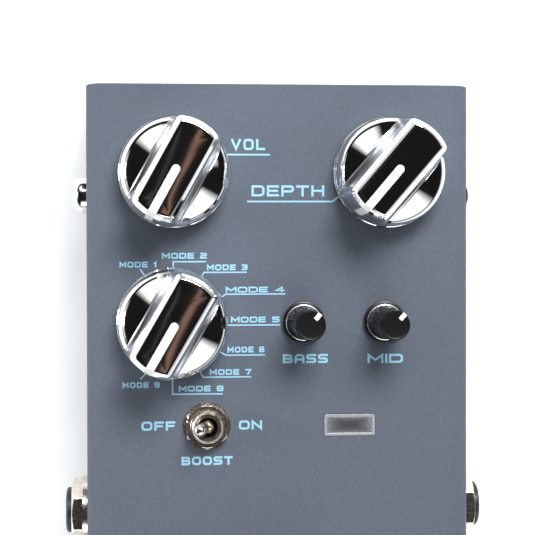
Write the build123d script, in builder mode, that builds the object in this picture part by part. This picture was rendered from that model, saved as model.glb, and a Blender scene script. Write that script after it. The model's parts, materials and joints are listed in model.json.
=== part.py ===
"""Floor effects pedal: folded metal case, three bar knobs, two small knobs, toggle, footswitch, jacks.

Millimetres. +X to the player's right, +Y to the rear, +Z up. The origin is on the floor, under the
middle of the case, so the feet stand on Z = 0.
"""
from build123d import *
import math
import os

os.makedirs("parts", exist_ok=True)

# ---------------------------------------------------------------- driving dimensions
WIDTH = 76.0
LENGTH = 130.0
CASE_HEIGHT = 35.0
SHEET = 1.5
EDGE_RADIUS = 3.8
FOOT_HEIGHT = 3.0
ASSEMBLY_GAP = 0.2
END_INSET = 0.8
SHAFT_CLEARANCE = 0.03
HOLE_GAP = 0.1
FIT_GAP = 0.02

# centres of the controls on the panel
MIX = (-20.8, 47.6)
DECAY = (21.4, 47.6)
MODE = (-21.2, 18.1)
TONE = (4.6, 18.1)
MOD = (20.7, 18.1)
TOGGLE = (-14.5, -2.1)
WINDOW = (13.8, -2.3)
FOOTSWITCH = (0.0, -42.0)

# pointer headings at rest, clockwise from the rear edge
MIX_HEADING = 209.0
DECAY_HEADING = 220.5
MODE_HEADING = 210.0
TONE_HEADING = 38.5
MOD_HEADING = 42.0
TOGGLE_LEAN = 16.0

# heights that follow from the case
CASE_BOTTOM = FOOT_HEIGHT
FLOOR_TOP = CASE_BOTTOM + SHEET
PANEL_TOP = CASE_BOTTOM + CASE_HEIGHT
PANEL_BACK = PANEL_TOP - SHEET
SIDE_INNER = WIDTH / 2 - SHEET
END_FACE = LENGTH / 2 - END_INSET

# boards
BOARD = 1.6
CONTROL_DEPTH = 8.2
PANEL_BOARD_TOP = PANEL_BACK - CONTROL_DEPTH
MAIN_BOARD_TOP = 14.5
BOARD_HALF_WIDTH = 33.0
MAIN_BOARD_HALF_LENGTH = 58.0
SPACER_AT = (29.0, 46.0)

# window, toggle and footswitch, where they pass through the panel
WINDOW_LENGTH = 10.2
WINDOW_BREADTH = 4.3
WINDOW_CORNER = 0.4
TOGGLE_THREAD_RADIUS = 3.0
FOOTSWITCH_THREAD_RADIUS = 6.0

# cover screws and feet
SCREW_Y = 43.5
SCREW_Z = PANEL_TOP - 15.0
SCREW_RADIUS = 2.0
SCREW_HEAD_RADIUS = 3.7
SCREW_HEAD_HEIGHT = 2.8
FOOT_AT = (27.0, 54.0)
FOOT_RADIUS = 6.0
FOOT_RECESS = 1.9
FOOT_RECESS_RADIUS = 3.2
SMALL_SCREW_RADIUS = 1.5
SMALL_SCREW_HEAD = 2.8

# jacks and power socket
JACK_Y = -21.0
JACK_Z = MAIN_BOARD_TOP + 7.5
JACK_BORE_RADIUS = 3.25
JACK_THREAD_RADIUS = 4.6
JACK_REACH = 4.6
JACK_DEPTH = 25.0
WASHER_THICK = 1.2
NUT_THICK = 2.3
DC_Z = MAIN_BOARD_TOP + 6.5
DC_MOUTH_RADIUS = 3.2
DC_MOUTH_DEPTH = 2.5
DC_BORE_RADIUS = 2.85
DC_BORE_DEPTH = 10.5

# controls
POT_THREAD_RADIUS = 3.5
POT_THREAD_TOP = PANEL_TOP + 4.0
POT_WASHER = 0.4
POT_WASHER_RADIUS = 6.0
POT_NUT = 2.0
POT_NUT_CORNER = 5.6
SHAFT_RADIUS = 3.0
D_FLAT = 2.0
KNOB_BASE = PANEL_TOP + 0.5
KNOB_HEIGHT = 14.5
KNOB_RADIUS = 10.8
BLADE_WIDTH = 8.8
BLADE_RADIUS = 10.1
CHEEK_EDGE = 6.1
POINTER_WIDTH = 1.7
POINTER_DEPTH = 0.5
POINTER_FOOT = 5.2
SMALL_KNOB_BASE = PANEL_TOP + 0.4
SMALL_KNOB_HEIGHT = 13.0
SMALL_SHAFT_RADIUS = 2.0


def save(piece, label):
    """Label a finished piece and write it to its own STEP file."""
    piece.part.label = label
    export_step(piece.part, "parts/" + label + ".step")


def mirrored_corners(at):
    """The four places at plus and minus the given x and y."""
    x, y = at
    return [(x, y), (-x, y), (x, -y), (-x, -y)]


def upright(centre, height, heading=0.0):
    """Plane at a control's axis, its +Y turned clockwise by the heading."""
    x, y = centre
    turn = math.radians(heading)
    return Plane(origin=(x, y, height), x_dir=(math.cos(turn), -math.sin(turn), 0), z_dir=(0, 0, 1))


# ---------------------------------------------------------------- case
def arch_profile(width, top, radius):
    """Upright arch across the case: square at the bottom, rounded upper corners."""
    with BuildSketch(Plane.XZ.offset(-LENGTH / 2)) as arch:
        with Locations((0, CASE_BOTTOM)):
            Rectangle(width, top - CASE_BOTTOM, align=(Align.CENTER, Align.MIN))
        fillet(arch.vertices().group_by(Axis.Y)[-1], radius)
    return arch.sketch


cover_outside = arch_profile(WIDTH, PANEL_TOP, EDGE_RADIUS)
cover_inside = arch_profile(WIDTH - 2 * SHEET, PANEL_BACK, EDGE_RADIUS - SHEET)

with BuildPart() as top_cover:
    extrude(cover_outside, amount=LENGTH)
    end_edges = top_cover.edges().filter_by(GeomType.LINE).filter_by(Axis.X).group_by(Axis.Z)[-1]
    chamfer(end_edges, 0.25)
    extrude(cover_inside, amount=LENGTH, mode=Mode.SUBTRACT)
    with BuildSketch(Plane.XY.offset(PANEL_BACK - 1)):
        with Locations(MIX, DECAY, MODE):
            Circle(POT_THREAD_RADIUS + HOLE_GAP)
        with Locations(TONE, MOD):
            Circle(SMALL_SHAFT_RADIUS + 0.6)
        with Locations(TOGGLE):
            Circle(TOGGLE_THREAD_RADIUS + HOLE_GAP)
        with Locations(WINDOW):
            hole_corner = WINDOW_CORNER + HOLE_GAP / 2
            RectangleRounded(WINDOW_LENGTH + HOLE_GAP, WINDOW_BREADTH + HOLE_GAP, hole_corner)
        with Locations(FOOTSWITCH):
            Circle(FOOTSWITCH_THREAD_RADIUS + HOLE_GAP)
    extrude(amount=SHEET + 2, mode=Mode.SUBTRACT)
    with BuildSketch(Plane.YZ.offset(-WIDTH / 2 - 1)):
        with Locations((JACK_Y, JACK_Z)):
            Circle(JACK_THREAD_RADIUS + HOLE_GAP)
        with Locations((SCREW_Y, SCREW_Z), (-SCREW_Y, SCREW_Z)):
            Circle(SCREW_RADIUS + HOLE_GAP)
    extrude(amount=WIDTH + 2, mode=Mode.SUBTRACT)
save(top_cover, "top_cover")

CHASSIS_HALF = SIDE_INNER - ASSEMBLY_GAP
CHASSIS_TOP = PANEL_BACK - ASSEMBLY_GAP
TAB_LENGTH = 14.0
TAB_TOP = SCREW_Z + 5.0

with BuildPart() as base_chassis:
    with BuildSketch(Plane.YZ.offset(-CHASSIS_HALF)) as tray:
        with Locations((0, CASE_BOTTOM)):
            Rectangle(2 * END_FACE, CHASSIS_TOP - CASE_BOTTOM, align=(Align.CENTER, Align.MIN))
        fillet(tray.vertices().group_by(Axis.Y)[0], 2.0)
    extrude(amount=2 * CHASSIS_HALF)
    with BuildSketch(Plane.YZ.offset(-CHASSIS_HALF)) as tray_inside:
        with Locations((0, FLOOR_TOP)):
            Rectangle(2 * (END_FACE - SHEET), CHASSIS_TOP, align=(Align.CENTER, Align.MIN))
        fillet(tray_inside.vertices().group_by(Axis.Y)[0], 0.5)
    extrude(amount=2 * CHASSIS_HALF, mode=Mode.SUBTRACT)
    wall_corners = base_chassis.edges().filter_by(Axis.Y).group_by(Axis.Z)[-1]
    fillet(wall_corners, EDGE_RADIUS - SHEET - ASSEMBLY_GAP)
    for side in (-1, 1):
        for y in (-SCREW_Y, SCREW_Y):
            with Locations((side * (CHASSIS_HALF - SHEET / 2), y, CASE_BOTTOM)):
                Box(SHEET, TAB_LENGTH, TAB_TOP - CASE_BOTTOM, align=(Align.CENTER, Align.CENTER, Align.MIN))
    with BuildSketch(Plane.YZ.offset(-WIDTH / 2)):
        with Locations((SCREW_Y, SCREW_Z), (-SCREW_Y, SCREW_Z)):
            Circle(SCREW_RADIUS + FIT_GAP)
    extrude(amount=WIDTH, mode=Mode.SUBTRACT)
    with BuildSketch(Plane.XY.offset(CASE_BOTTOM - 1)):
        with Locations(*mirrored_corners(FOOT_AT)):
            Circle(SMALL_SCREW_RADIUS + FIT_GAP)
    extrude(amount=SHEET + 2, mode=Mode.SUBTRACT)
    with BuildSketch(Plane.XZ.offset(-LENGTH / 2)):
        with Locations((0, DC_Z)):
            Circle(4.15)
    extrude(amount=5, mode=Mode.SUBTRACT)
save(base_chassis, "base_chassis")


def pan_head_screw(plane, head_radius, head_height, thread_radius, thread_length, drive):
    """Pan-head screw: its head rises along the plane's normal and its thread goes the other way."""
    with BuildPart() as screw:
        with BuildSketch(plane):
            Circle(thread_radius)
        extrude(amount=-thread_length)
        with BuildSketch(plane):
            Circle(head_radius)
        extrude(amount=head_height)
        crown = screw.faces().sort_by(Axis(plane.origin, plane.z_dir))[-1].edges()
        fillet(crown, head_height * 0.62)
        with BuildSketch(plane.offset(head_height)):
            RegularPolygon(drive, 6)
        extrude(amount=-head_height * 0.5, mode=Mode.SUBTRACT)
    return screw.part


cover_screw_parts = []
for side in (-1, 1):
    for y in (-SCREW_Y, SCREW_Y):
        screw_seat = Plane(origin=(side * WIDTH / 2, y, SCREW_Z), x_dir=(0, 1, 0), z_dir=(side, 0, 0))
        screw = pan_head_screw(screw_seat, SCREW_HEAD_RADIUS, SCREW_HEAD_HEIGHT, SCREW_RADIUS, 6.0, 1.5)
        cover_screw_parts.append(screw)
with BuildPart() as cover_screws:
    add(cover_screw_parts)
save(cover_screws, "cover_screws")

with BuildPart() as rubber_feet:
    with BuildSketch(Plane.XY):
        with Locations(*mirrored_corners(FOOT_AT)):
            Circle(FOOT_RADIUS)
    extrude(amount=FOOT_HEIGHT)
    chamfer(rubber_feet.edges().group_by(Axis.Z)[0], 0.4)
    with BuildSketch(Plane.XY):
        with Locations(*mirrored_corners(FOOT_AT)):
            Circle(FOOT_RECESS_RADIUS)
    extrude(amount=FOOT_RECESS, mode=Mode.SUBTRACT)
    with BuildSketch(Plane.XY):
        with Locations(*mirrored_corners(FOOT_AT)):
            Circle(SMALL_SCREW_RADIUS + 2 * FIT_GAP)
    extrude(amount=FOOT_HEIGHT, mode=Mode.SUBTRACT)
save(rubber_feet, "rubber_feet")

foot_screw_parts = []
for x, y in mirrored_corners(FOOT_AT):
    recess_floor = Plane(origin=(x, y, FOOT_RECESS), x_dir=(1, 0, 0), z_dir=(0, 0, -1))
    foot_screw_parts.append(pan_head_screw(recess_floor, SMALL_SCREW_HEAD, 1.5, SMALL_SCREW_RADIUS, 5.0, 1.1))
with BuildPart() as foot_screws:
    add(foot_screw_parts)
save(foot_screws, "foot_screws")

# ---------------------------------------------------------------- boards and what they carry
with BuildPart() as main_board:
    with BuildSketch(Plane.XY.offset(MAIN_BOARD_TOP - BOARD)):
        RectangleRounded(2 * BOARD_HALF_WIDTH, 2 * MAIN_BOARD_HALF_LENGTH, 2.0)
        with Locations(*mirrored_corners(SPACER_AT)):
            Circle(SMALL_SCREW_RADIUS + HOLE_GAP, mode=Mode.SUBTRACT)
    extrude(amount=BOARD)
save(main_board, "main_board")

PANEL_BOARD_REAR = 57.5
PANEL_BOARD_FRONT = -10.0
with BuildPart() as panel_board:
    with BuildSketch(Plane.XY.offset(PANEL_BOARD_TOP - BOARD)):
        with Locations((0, (PANEL_BOARD_REAR + PANEL_BOARD_FRONT) / 2)):
            RectangleRounded(2 * BOARD_HALF_WIDTH, PANEL_BOARD_REAR - PANEL_BOARD_FRONT, 2.0)
    extrude(amount=BOARD)
save(panel_board, "panel_board")

SPACER_TOP = MAIN_BOARD_TOP - BOARD
SPACER_BORE = 6.0
with BuildPart() as board_spacers:
    with BuildSketch(Plane.XY.offset(FLOOR_TOP)):
        with Locations(*mirrored_corners(SPACER_AT)):
            RegularPolygon(3.1, 6)
    extrude(amount=SPACER_TOP - FLOOR_TOP)
    with BuildSketch(Plane.XY.offset(SPACER_TOP)):
        with Locations(*mirrored_corners(SPACER_AT)):
            Circle(SMALL_SCREW_RADIUS + FIT_GAP)
    extrude(amount=-SPACER_BORE, mode=Mode.SUBTRACT)
save(board_spacers, "board_spacers")

board_screw_parts = []
for x, y in mirrored_corners(SPACER_AT):
    board_seat = Plane(origin=(x, y, MAIN_BOARD_TOP), x_dir=(1, 0, 0), z_dir=(0, 0, 1))
    screw = pan_head_screw(board_seat, SMALL_SCREW_HEAD, 1.8, SMALL_SCREW_RADIUS, SPACER_BORE, 1.1)
    board_screw_parts.append(screw)
with BuildPart() as board_screws:
    add(board_screw_parts)
save(board_screws, "board_screws")

# chip packages: centre, width, length, height
CHIPS = (
    ((-10.0, 22.0), 14.0, 14.0, 1.4),
    ((8.0, 24.0), 8.0, 5.2, 1.2),
    ((-6.0, -1.0), 6.5, 5.0, 1.2),
    ((14.0, -2.0), 6.5, 6.0, 2.3),
)
with BuildPart() as processor_chips:
    for centre, chip_width, chip_length, chip_height in CHIPS:
        with BuildSketch(Plane.XY.offset(MAIN_BOARD_TOP)):
            with Locations(centre):
                Rectangle(chip_width, chip_length)
        extrude(amount=chip_height, taper=6)
save(processor_chips, "processor_chips")

CAPACITOR_AT = ((20.0, 36.0), (20.0, 45.0), (-20.0, 38.0), (-20.0, 47.0))
CAPACITOR_RADIUS = 3.15
CAPACITOR_HEIGHT = 7.7
with BuildPart() as capacitors:
    for centre in CAPACITOR_AT:
        with BuildSketch(Plane.XY.offset(MAIN_BOARD_TOP)):
            with Locations(centre):
                Circle(CAPACITOR_RADIUS)
    extrude(amount=CAPACITOR_HEIGHT)
    fillet(capacitors.edges().group_by(Axis.Z)[-1], 0.5)
save(capacitors, "capacitors")

CONNECTOR_AT = (28.0, 14.0)
with BuildPart() as board_connector:
    with BuildSketch(Plane.XY.offset(MAIN_BOARD_TOP)):
        with Locations(CONNECTOR_AT):
            Rectangle(5.0, 20.0)
    extrude(amount=PANEL_BOARD_TOP - BOARD - MAIN_BOARD_TOP)
    chamfer(board_connector.edges().filter_by(Axis.Z), 0.4)
save(board_connector, "board_connector")

WINDOW_FLANGE = 1.1
WINDOW_FLANGE_THICK = 1.0
WINDOW_PROUD = 0.1
WINDOW_RIM = 0.4
WINDOW_DISH = 0.25
with BuildPart() as led_window:
    with BuildSketch(Plane.XY.offset(PANEL_BACK - WINDOW_FLANGE_THICK)):
        with Locations(WINDOW):
            Rectangle(WINDOW_LENGTH + 2 * WINDOW_FLANGE, WINDOW_BREADTH + 2 * WINDOW_FLANGE)
    extrude(amount=WINDOW_FLANGE_THICK)
    with BuildSketch(Plane.XY.offset(PANEL_BACK)):
        with Locations(WINDOW):
            RectangleRounded(WINDOW_LENGTH, WINDOW_BREADTH, WINDOW_CORNER)
    extrude(amount=SHEET + WINDOW_PROUD)
    dish_length = WINDOW_LENGTH - 2 * WINDOW_RIM
    dish_breadth = WINDOW_BREADTH - 2 * WINDOW_RIM
    with BuildSketch(Plane.XY.offset(PANEL_TOP + WINDOW_PROUD)):
        with Locations(WINDOW):
            RectangleRounded(dish_length, dish_breadth, WINDOW_CORNER / 2)
    extrude(amount=-WINDOW_DISH, mode=Mode.SUBTRACT)
save(led_window, "led_window")

with BuildPart() as status_led:
    for shift in (-2.6, 2.6):
        with BuildSketch(Plane.XY.offset(PANEL_BOARD_TOP)):
            with Locations((WINDOW[0] + shift, WINDOW[1])):
                Rectangle(3.5, 2.8)
        extrude(amount=1.6)
save(status_led, "status_led")


# ---------------------------------------------------------------- potentiometers and selector
ROTOR_RADIUS = 6.2
ROTOR_BOTTOM = PANEL_BOARD_TOP + 2.0
ROTOR_THICK = 2.8
ROTOR_GAP = 0.2
BODY_RADIUS = 8.25
BODY_SQUARE = 16.4
SHAFT_TOP = PANEL_TOP + 11.6


def control_body(centre, square):
    """Body with a threaded bushing, hollow for the rotor and bored for the shaft."""
    with BuildPart() as body:
        with BuildSketch(upright(centre, PANEL_BOARD_TOP)):
            if square:
                RectangleRounded(BODY_SQUARE, BODY_SQUARE, 1.5)
            else:
                Circle(BODY_RADIUS)
        extrude(amount=CONTROL_DEPTH)
        with BuildSketch(upright(centre, PANEL_BACK)):
            Circle(POT_THREAD_RADIUS)
        extrude(amount=POT_THREAD_TOP - PANEL_BACK)
        chamfer(body.edges().group_by(Axis.Z)[-1], 0.3)
        with BuildSketch(upright(centre, ROTOR_BOTTOM - ROTOR_GAP)):
            Circle(ROTOR_RADIUS + ROTOR_GAP)
        extrude(amount=ROTOR_THICK + 2 * ROTOR_GAP, mode=Mode.SUBTRACT)
        with BuildSketch(upright(centre, ROTOR_BOTTOM)):
            Circle(SHAFT_RADIUS + SHAFT_CLEARANCE)
        extrude(amount=POT_THREAD_TOP - ROTOR_BOTTOM, mode=Mode.SUBTRACT)
    return body


def control_shaft(centre, heading):
    """Shaft with a rotor disc inside the body and a flat for the knob, opposite the pointer."""
    with BuildPart() as shaft:
        with BuildSketch(upright(centre, ROTOR_BOTTOM)):
            Circle(ROTOR_RADIUS)
        extrude(amount=ROTOR_THICK)
        with BuildSketch(upright(centre, ROTOR_BOTTOM)):
            Circle(SHAFT_RADIUS)
        extrude(amount=SHAFT_TOP - ROTOR_BOTTOM)
        with BuildSketch(upright(centre, SHAFT_TOP, heading)):
            with Locations((0, -D_FLAT)):
                Rectangle(3 * SHAFT_RADIUS, SHAFT_RADIUS, align=(Align.CENTER, Align.MAX))
        extrude(amount=POT_THREAD_TOP + 0.6 - SHAFT_TOP, mode=Mode.SUBTRACT)
    return shaft


save(control_body(MIX, square=False), "mix_pot")
save(control_body(DECAY, square=False), "decay_pot")
save(control_body(MODE, square=True), "mode_switch")
save(control_shaft(MIX, MIX_HEADING), "mix_shaft")
save(control_shaft(DECAY, DECAY_HEADING), "decay_shaft")
save(control_shaft(MODE, MODE_HEADING), "mode_shaft")

with BuildPart() as pot_washers:
    with BuildSketch(Plane.XY.offset(PANEL_TOP)):
        with Locations(MIX, DECAY, MODE):
            Circle(POT_WASHER_RADIUS)
            Circle(POT_THREAD_RADIUS + HOLE_GAP, mode=Mode.SUBTRACT)
    extrude(amount=POT_WASHER)
save(pot_washers, "pot_washers")

with BuildPart() as pot_nuts:
    with BuildSketch(Plane.XY.offset(PANEL_TOP + POT_WASHER)):
        with Locations(MIX, DECAY, MODE):
            RegularPolygon(POT_NUT_CORNER, 6)
            Circle(POT_THREAD_RADIUS + FIT_GAP, mode=Mode.SUBTRACT)
    extrude(amount=POT_NUT)
save(pot_nuts, "pot_nuts")


# ---------------------------------------------------------------- bar knobs
LIP_HEIGHT = 0.8
LIP_OVERHANG = 0.1
WALL_INSET = 0.2
WALL_HEIGHT = 4.4
DOME_TOP = 9.2
GROOVE_DROP = 1.1
BLADE_DRAFT = 3.5
BLADE_BEVEL = 1.0
CAVITY_RADIUS = 6.8
CAVITY_HEIGHT = POT_THREAD_TOP + 0.6 - KNOB_BASE
BAR_FOOT = 3.0


def knob_disc(plane, drop):
    """Domed disc of the knob, its dome lowered by a drop, as a solid of revolution."""
    top = DOME_TOP - drop
    lip_radius = KNOB_RADIUS + LIP_OVERHANG
    wall = KNOB_RADIUS - WALL_INSET
    wall_top = WALL_HEIGHT - drop
    shoulder_start = (wall - 0.8, top - 2.8)
    axis_plane = Plane(origin=plane.origin, x_dir=plane.x_dir, z_dir=-plane.y_dir)
    with BuildPart() as disc:
        with BuildSketch(axis_plane):
            with BuildLine():
                Line((0, 0), (lip_radius, 0))
                Line((lip_radius, 0), (lip_radius, LIP_HEIGHT))
                Line((lip_radius, LIP_HEIGHT), (wall, LIP_HEIGHT))
                Line((wall, LIP_HEIGHT), (wall - 0.1, wall_top))
                ThreePointArc((wall - 0.1, wall_top), (wall - 0.25, wall_top + 0.9), shoulder_start)
                ThreePointArc(shoulder_start, (6.4, top - 1.2), (0, top))
                Line((0, top), (0, 0))
            make_face()
        revolve(axis=Axis(plane.origin, plane.z_dir))
    return disc.part


def knob_blade(plane, inset):
    """Grip bar across the knob, drafted and bevelled, and shrunk all round by an inset."""
    top = KNOB_HEIGHT - inset
    spread = math.tan(math.radians(BLADE_DRAFT)) * (top - BAR_FOOT)
    with BuildPart() as blade:
        with BuildSketch(plane.offset(BAR_FOOT)):
            Circle(BLADE_RADIUS + spread - inset)
            Rectangle(BLADE_WIDTH + 2 * (spread - inset), 3 * BLADE_RADIUS, mode=Mode.INTERSECT)
        extrude(amount=top - BAR_FOOT, taper=BLADE_DRAFT)
        if inset == 0:
            crest = blade.faces().sort_by(Axis(plane.origin, plane.z_dir))[-1]
            fillet(crest.edges(), BLADE_BEVEL)
    return blade.part


def pointer_band(plane):
    """Upright slab that the pointer occupies, from the knob's axis to past the bar's end."""
    with BuildPart() as slab:
        with BuildSketch(plane.offset(POINTER_FOOT)):
            Circle(POINTER_WIDTH / 2)
            Rectangle(POINTER_WIDTH, 2 * BLADE_RADIUS, align=(Align.CENTER, Align.MIN))
        extrude(amount=KNOB_HEIGHT)
    return slab.part


def bar_knob(centre, heading):
    """Chrome knob and its white pointer: a domed disc, two grooves, a grip bar and an inlay."""
    seat = upright(centre, KNOB_BASE, heading)
    cheeks = knob_disc(seat, 0)
    core = knob_disc(seat, GROOVE_DROP)
    blade = knob_blade(seat, 0)
    blade_core = knob_blade(seat, POINTER_DEPTH)
    band = pointer_band(seat)
    with BuildPart() as pointer:
        add(blade)
        add(band, mode=Mode.INTERSECT)
        add(blade_core, mode=Mode.SUBTRACT)
    with BuildPart() as knob:
        add(cheeks)
        with BuildSketch(seat.offset(LIP_HEIGHT + 0.2)):
            Rectangle(2 * CHEEK_EDGE, 3 * KNOB_RADIUS)
        extrude(amount=KNOB_HEIGHT, mode=Mode.SUBTRACT)
        add(core)
        add(blade)
        add(pointer.part, mode=Mode.SUBTRACT)
        with BuildSketch(seat):
            Circle(CAVITY_RADIUS)
        extrude(amount=CAVITY_HEIGHT, mode=Mode.SUBTRACT)
        with BuildSketch(seat):
            Circle(SHAFT_RADIUS + FIT_GAP)
            with Locations((0, -D_FLAT - FIT_GAP)):
                Rectangle(3 * SHAFT_RADIUS, SHAFT_RADIUS, align=(Align.CENTER, Align.MAX), mode=Mode.SUBTRACT)
        extrude(amount=SHAFT_TOP + 0.2 - KNOB_BASE, mode=Mode.SUBTRACT)
    return knob, pointer


for name, centre, heading in (
    ("mix", MIX, MIX_HEADING),
    ("decay", DECAY, DECAY_HEADING),
    ("mode", MODE, MODE_HEADING),
):
    knob, pointer = bar_knob(centre, heading)
    save(knob, name + "_knob")
    save(pointer, name + "_pointer")


# ---------------------------------------------------------------- small knobs
FLANGE_RADIUS = 4.15
FLANGE_HEIGHT = 1.0
RING_HEIGHT = 0.45
RING_RADIUS = 3.65
KNURL_RADIUS = 3.1
CROWN_RADIUS = 2.95
KNURL_TEETH = 40
KNURL_DEPTH = 0.14
KNURL_TOP = SMALL_KNOB_HEIGHT - 0.6
SMALL_POT_TOP = PANEL_BACK - 1.4
SMALL_SHAFT_TOP = SMALL_KNOB_BASE + 10.0
MARK_LENGTH = 1.5
MARK_WIDTH = 0.9
MARK_DEPTH = 0.35
SMALL_SHAFT_START = SMALL_POT_TOP - 4.8
SMALL_BORE_DEPTH = 5.0


def tooth_ring(radius):
    """Points round a knurled circle, crest and root in turn."""
    points = []
    for step in range(2 * KNURL_TEETH):
        turn = math.pi * step / KNURL_TEETH
        reach = radius - KNURL_DEPTH * (step % 2)
        points.append((reach * math.cos(turn), reach * math.sin(turn)))
    return points


def small_knob(centre, heading):
    """Knurled conical knob, its silver ring and its white mark."""
    seat = upright(centre, SMALL_KNOB_BASE, heading)
    with BuildPart() as mark:
        with BuildSketch(seat.offset(SMALL_KNOB_HEIGHT - MARK_DEPTH)):
            Circle(CROWN_RADIUS - 0.05)
            with Locations((0, CROWN_RADIUS - MARK_LENGTH)):
                Rectangle(MARK_WIDTH, 2 * MARK_LENGTH, align=(Align.CENTER, Align.MIN), mode=Mode.INTERSECT)
        extrude(amount=MARK_DEPTH)
    with BuildPart() as ring:
        with BuildSketch(seat.offset(FLANGE_HEIGHT)):
            Circle(RING_RADIUS)
            Circle(KNURL_RADIUS + FIT_GAP, mode=Mode.SUBTRACT)
        extrude(amount=RING_HEIGHT)
        fillet(ring.edges().group_by(Axis.Z)[-1].sort_by(SortBy.LENGTH)[-1], 0.15)
    with BuildPart() as knob:
        with BuildSketch(seat):
            Circle(FLANGE_RADIUS)
        extrude(amount=FLANGE_HEIGHT)
        with BuildSketch(seat.offset(FLANGE_HEIGHT)):
            Circle(KNURL_RADIUS)
        extrude(amount=RING_HEIGHT)
        with BuildSketch(seat.offset(FLANGE_HEIGHT + RING_HEIGHT)):
            Polygon(*tooth_ring(KNURL_RADIUS), align=None)
        with BuildSketch(seat.offset(KNURL_TOP)):
            Polygon(*tooth_ring(CROWN_RADIUS), align=None)
        loft(ruled=True)
        with BuildSketch(seat.offset(KNURL_TOP)):
            Circle(CROWN_RADIUS - KNURL_DEPTH)
        extrude(amount=SMALL_KNOB_HEIGHT - KNURL_TOP)
        add(mark.part, mode=Mode.SUBTRACT)
        with BuildSketch(seat):
            Circle(SMALL_SHAFT_RADIUS + FIT_GAP)
        extrude(amount=SMALL_SHAFT_TOP + 0.2 - SMALL_KNOB_BASE, mode=Mode.SUBTRACT)
    return knob, ring, mark


def small_pot(centre):
    """Square board-mounted body with a blind bore for the thin shaft."""
    with BuildPart() as body:
        with BuildSketch(upright(centre, PANEL_BOARD_TOP)):
            RectangleRounded(9.8, 11.0, 0.6)
        extrude(amount=SMALL_POT_TOP - PANEL_BOARD_TOP)
        with BuildSketch(upright(centre, SMALL_POT_TOP)):
            Circle(SMALL_SHAFT_RADIUS + SHAFT_CLEARANCE)
        extrude(amount=-SMALL_BORE_DEPTH, mode=Mode.SUBTRACT)
    return body


def small_shaft(centre):
    """Thin plain shaft from inside the body up into the knob."""
    with BuildPart() as shaft:
        with BuildSketch(upright(centre, SMALL_SHAFT_START)):
            Circle(SMALL_SHAFT_RADIUS)
        extrude(amount=SMALL_SHAFT_TOP - SMALL_SHAFT_START)
    return shaft


for name, centre, heading in (("tone", TONE, TONE_HEADING), ("mod", MOD, MOD_HEADING)):
    knob, ring, mark = small_knob(centre, heading)
    save(knob, name + "_knob")
    save(ring, name + "_knob_ring")
    save(mark, name + "_pointer")
    save(small_pot(centre), name + "_pot")
    save(small_shaft(centre), name + "_shaft")

# ---------------------------------------------------------------- toggle switch
TOGGLE_THREAD_TOP = PANEL_TOP + 4.2
TOGGLE_WASHER = 0.5
TOGGLE_WASHER_RADIUS = 4.65
TOGGLE_NUT_CORNER = 4.62
TOGGLE_NUT = 1.9
TOGGLE_BORE = 2.0
PIVOT = PANEL_TOP + 2.0
LEVER_REACH = 7.2
LEVER_TAIL = 3.0
LEVER_TIP = 1.25
LEVER_NECK = 0.8
LEVER_BALL = 1.44

with BuildPart() as toggle_body:
    with BuildSketch(Plane.XY.offset(PANEL_BOARD_TOP)):
        with Locations(TOGGLE):
            Rectangle(13.2, 7.9)
    extrude(amount=CONTROL_DEPTH)
    chamfer(toggle_body.edges().filter_by(Axis.Z), 0.4)
save(toggle_body, "toggle_body")

with BuildPart() as toggle_bushing:
    with BuildSketch(Plane.XY.offset(PANEL_BACK)):
        with Locations(TOGGLE):
            Circle(TOGGLE_THREAD_RADIUS)
    extrude(amount=TOGGLE_THREAD_TOP - PANEL_BACK)
    chamfer(toggle_bushing.edges().group_by(Axis.Z)[-1], 0.35)
    with BuildSketch(Plane.XY.offset(PANEL_BACK)):
        with Locations(TOGGLE):
            Circle(TOGGLE_BORE)
    extrude(amount=TOGGLE_THREAD_TOP - PANEL_BACK, mode=Mode.SUBTRACT)
save(toggle_bushing, "toggle_bushing")

with BuildPart() as toggle_washer:
    with BuildSketch(Plane.XY.offset(PANEL_TOP)):
        with Locations(TOGGLE):
            Circle(TOGGLE_WASHER_RADIUS)
            Circle(TOGGLE_THREAD_RADIUS + HOLE_GAP / 2, mode=Mode.SUBTRACT)
    extrude(amount=TOGGLE_WASHER)
save(toggle_washer, "toggle_washer")


def chamfered_nut(plane, corner_radius, bore_radius, thickness, turn=0.0, crown=0.5):
    """Hexagon nut whose outer corners are turned down, seated on the plane."""
    with BuildPart() as nut:
        with BuildSketch(plane):
            RegularPolygon(corner_radius, 6, rotation=turn)
        extrude(amount=thickness)
        with BuildSketch(plane):
            Circle(corner_radius - 0.1)
        extrude(amount=thickness, mode=Mode.INTERSECT)
        rim = Plane(origin=plane.origin, x_dir=plane.x_dir, z_dir=-plane.y_dir)
        with BuildSketch(rim):
            with BuildLine():
                Polyline(
                    (corner_radius + 1, thickness + 1),
                    (corner_radius - 2.2, thickness + 1),
                    (corner_radius - 0.9 - crown, thickness),
                    (corner_radius + 1, thickness - crown - 0.6),
                    close=True,
                )
            make_face()
        revolve(axis=Axis(plane.origin, plane.z_dir), mode=Mode.SUBTRACT)
        with BuildSketch(plane):
            Circle(bore_radius)
        extrude(amount=thickness, mode=Mode.SUBTRACT)
    return nut


toggle_seat = upright(TOGGLE, PANEL_TOP + TOGGLE_WASHER)
toggle_nut_bore = TOGGLE_THREAD_RADIUS + FIT_GAP
toggle_nut = chamfered_nut(toggle_seat, TOGGLE_NUT_CORNER, toggle_nut_bore, TOGGLE_NUT, turn=30)
save(toggle_nut, "toggle_nut")

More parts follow.
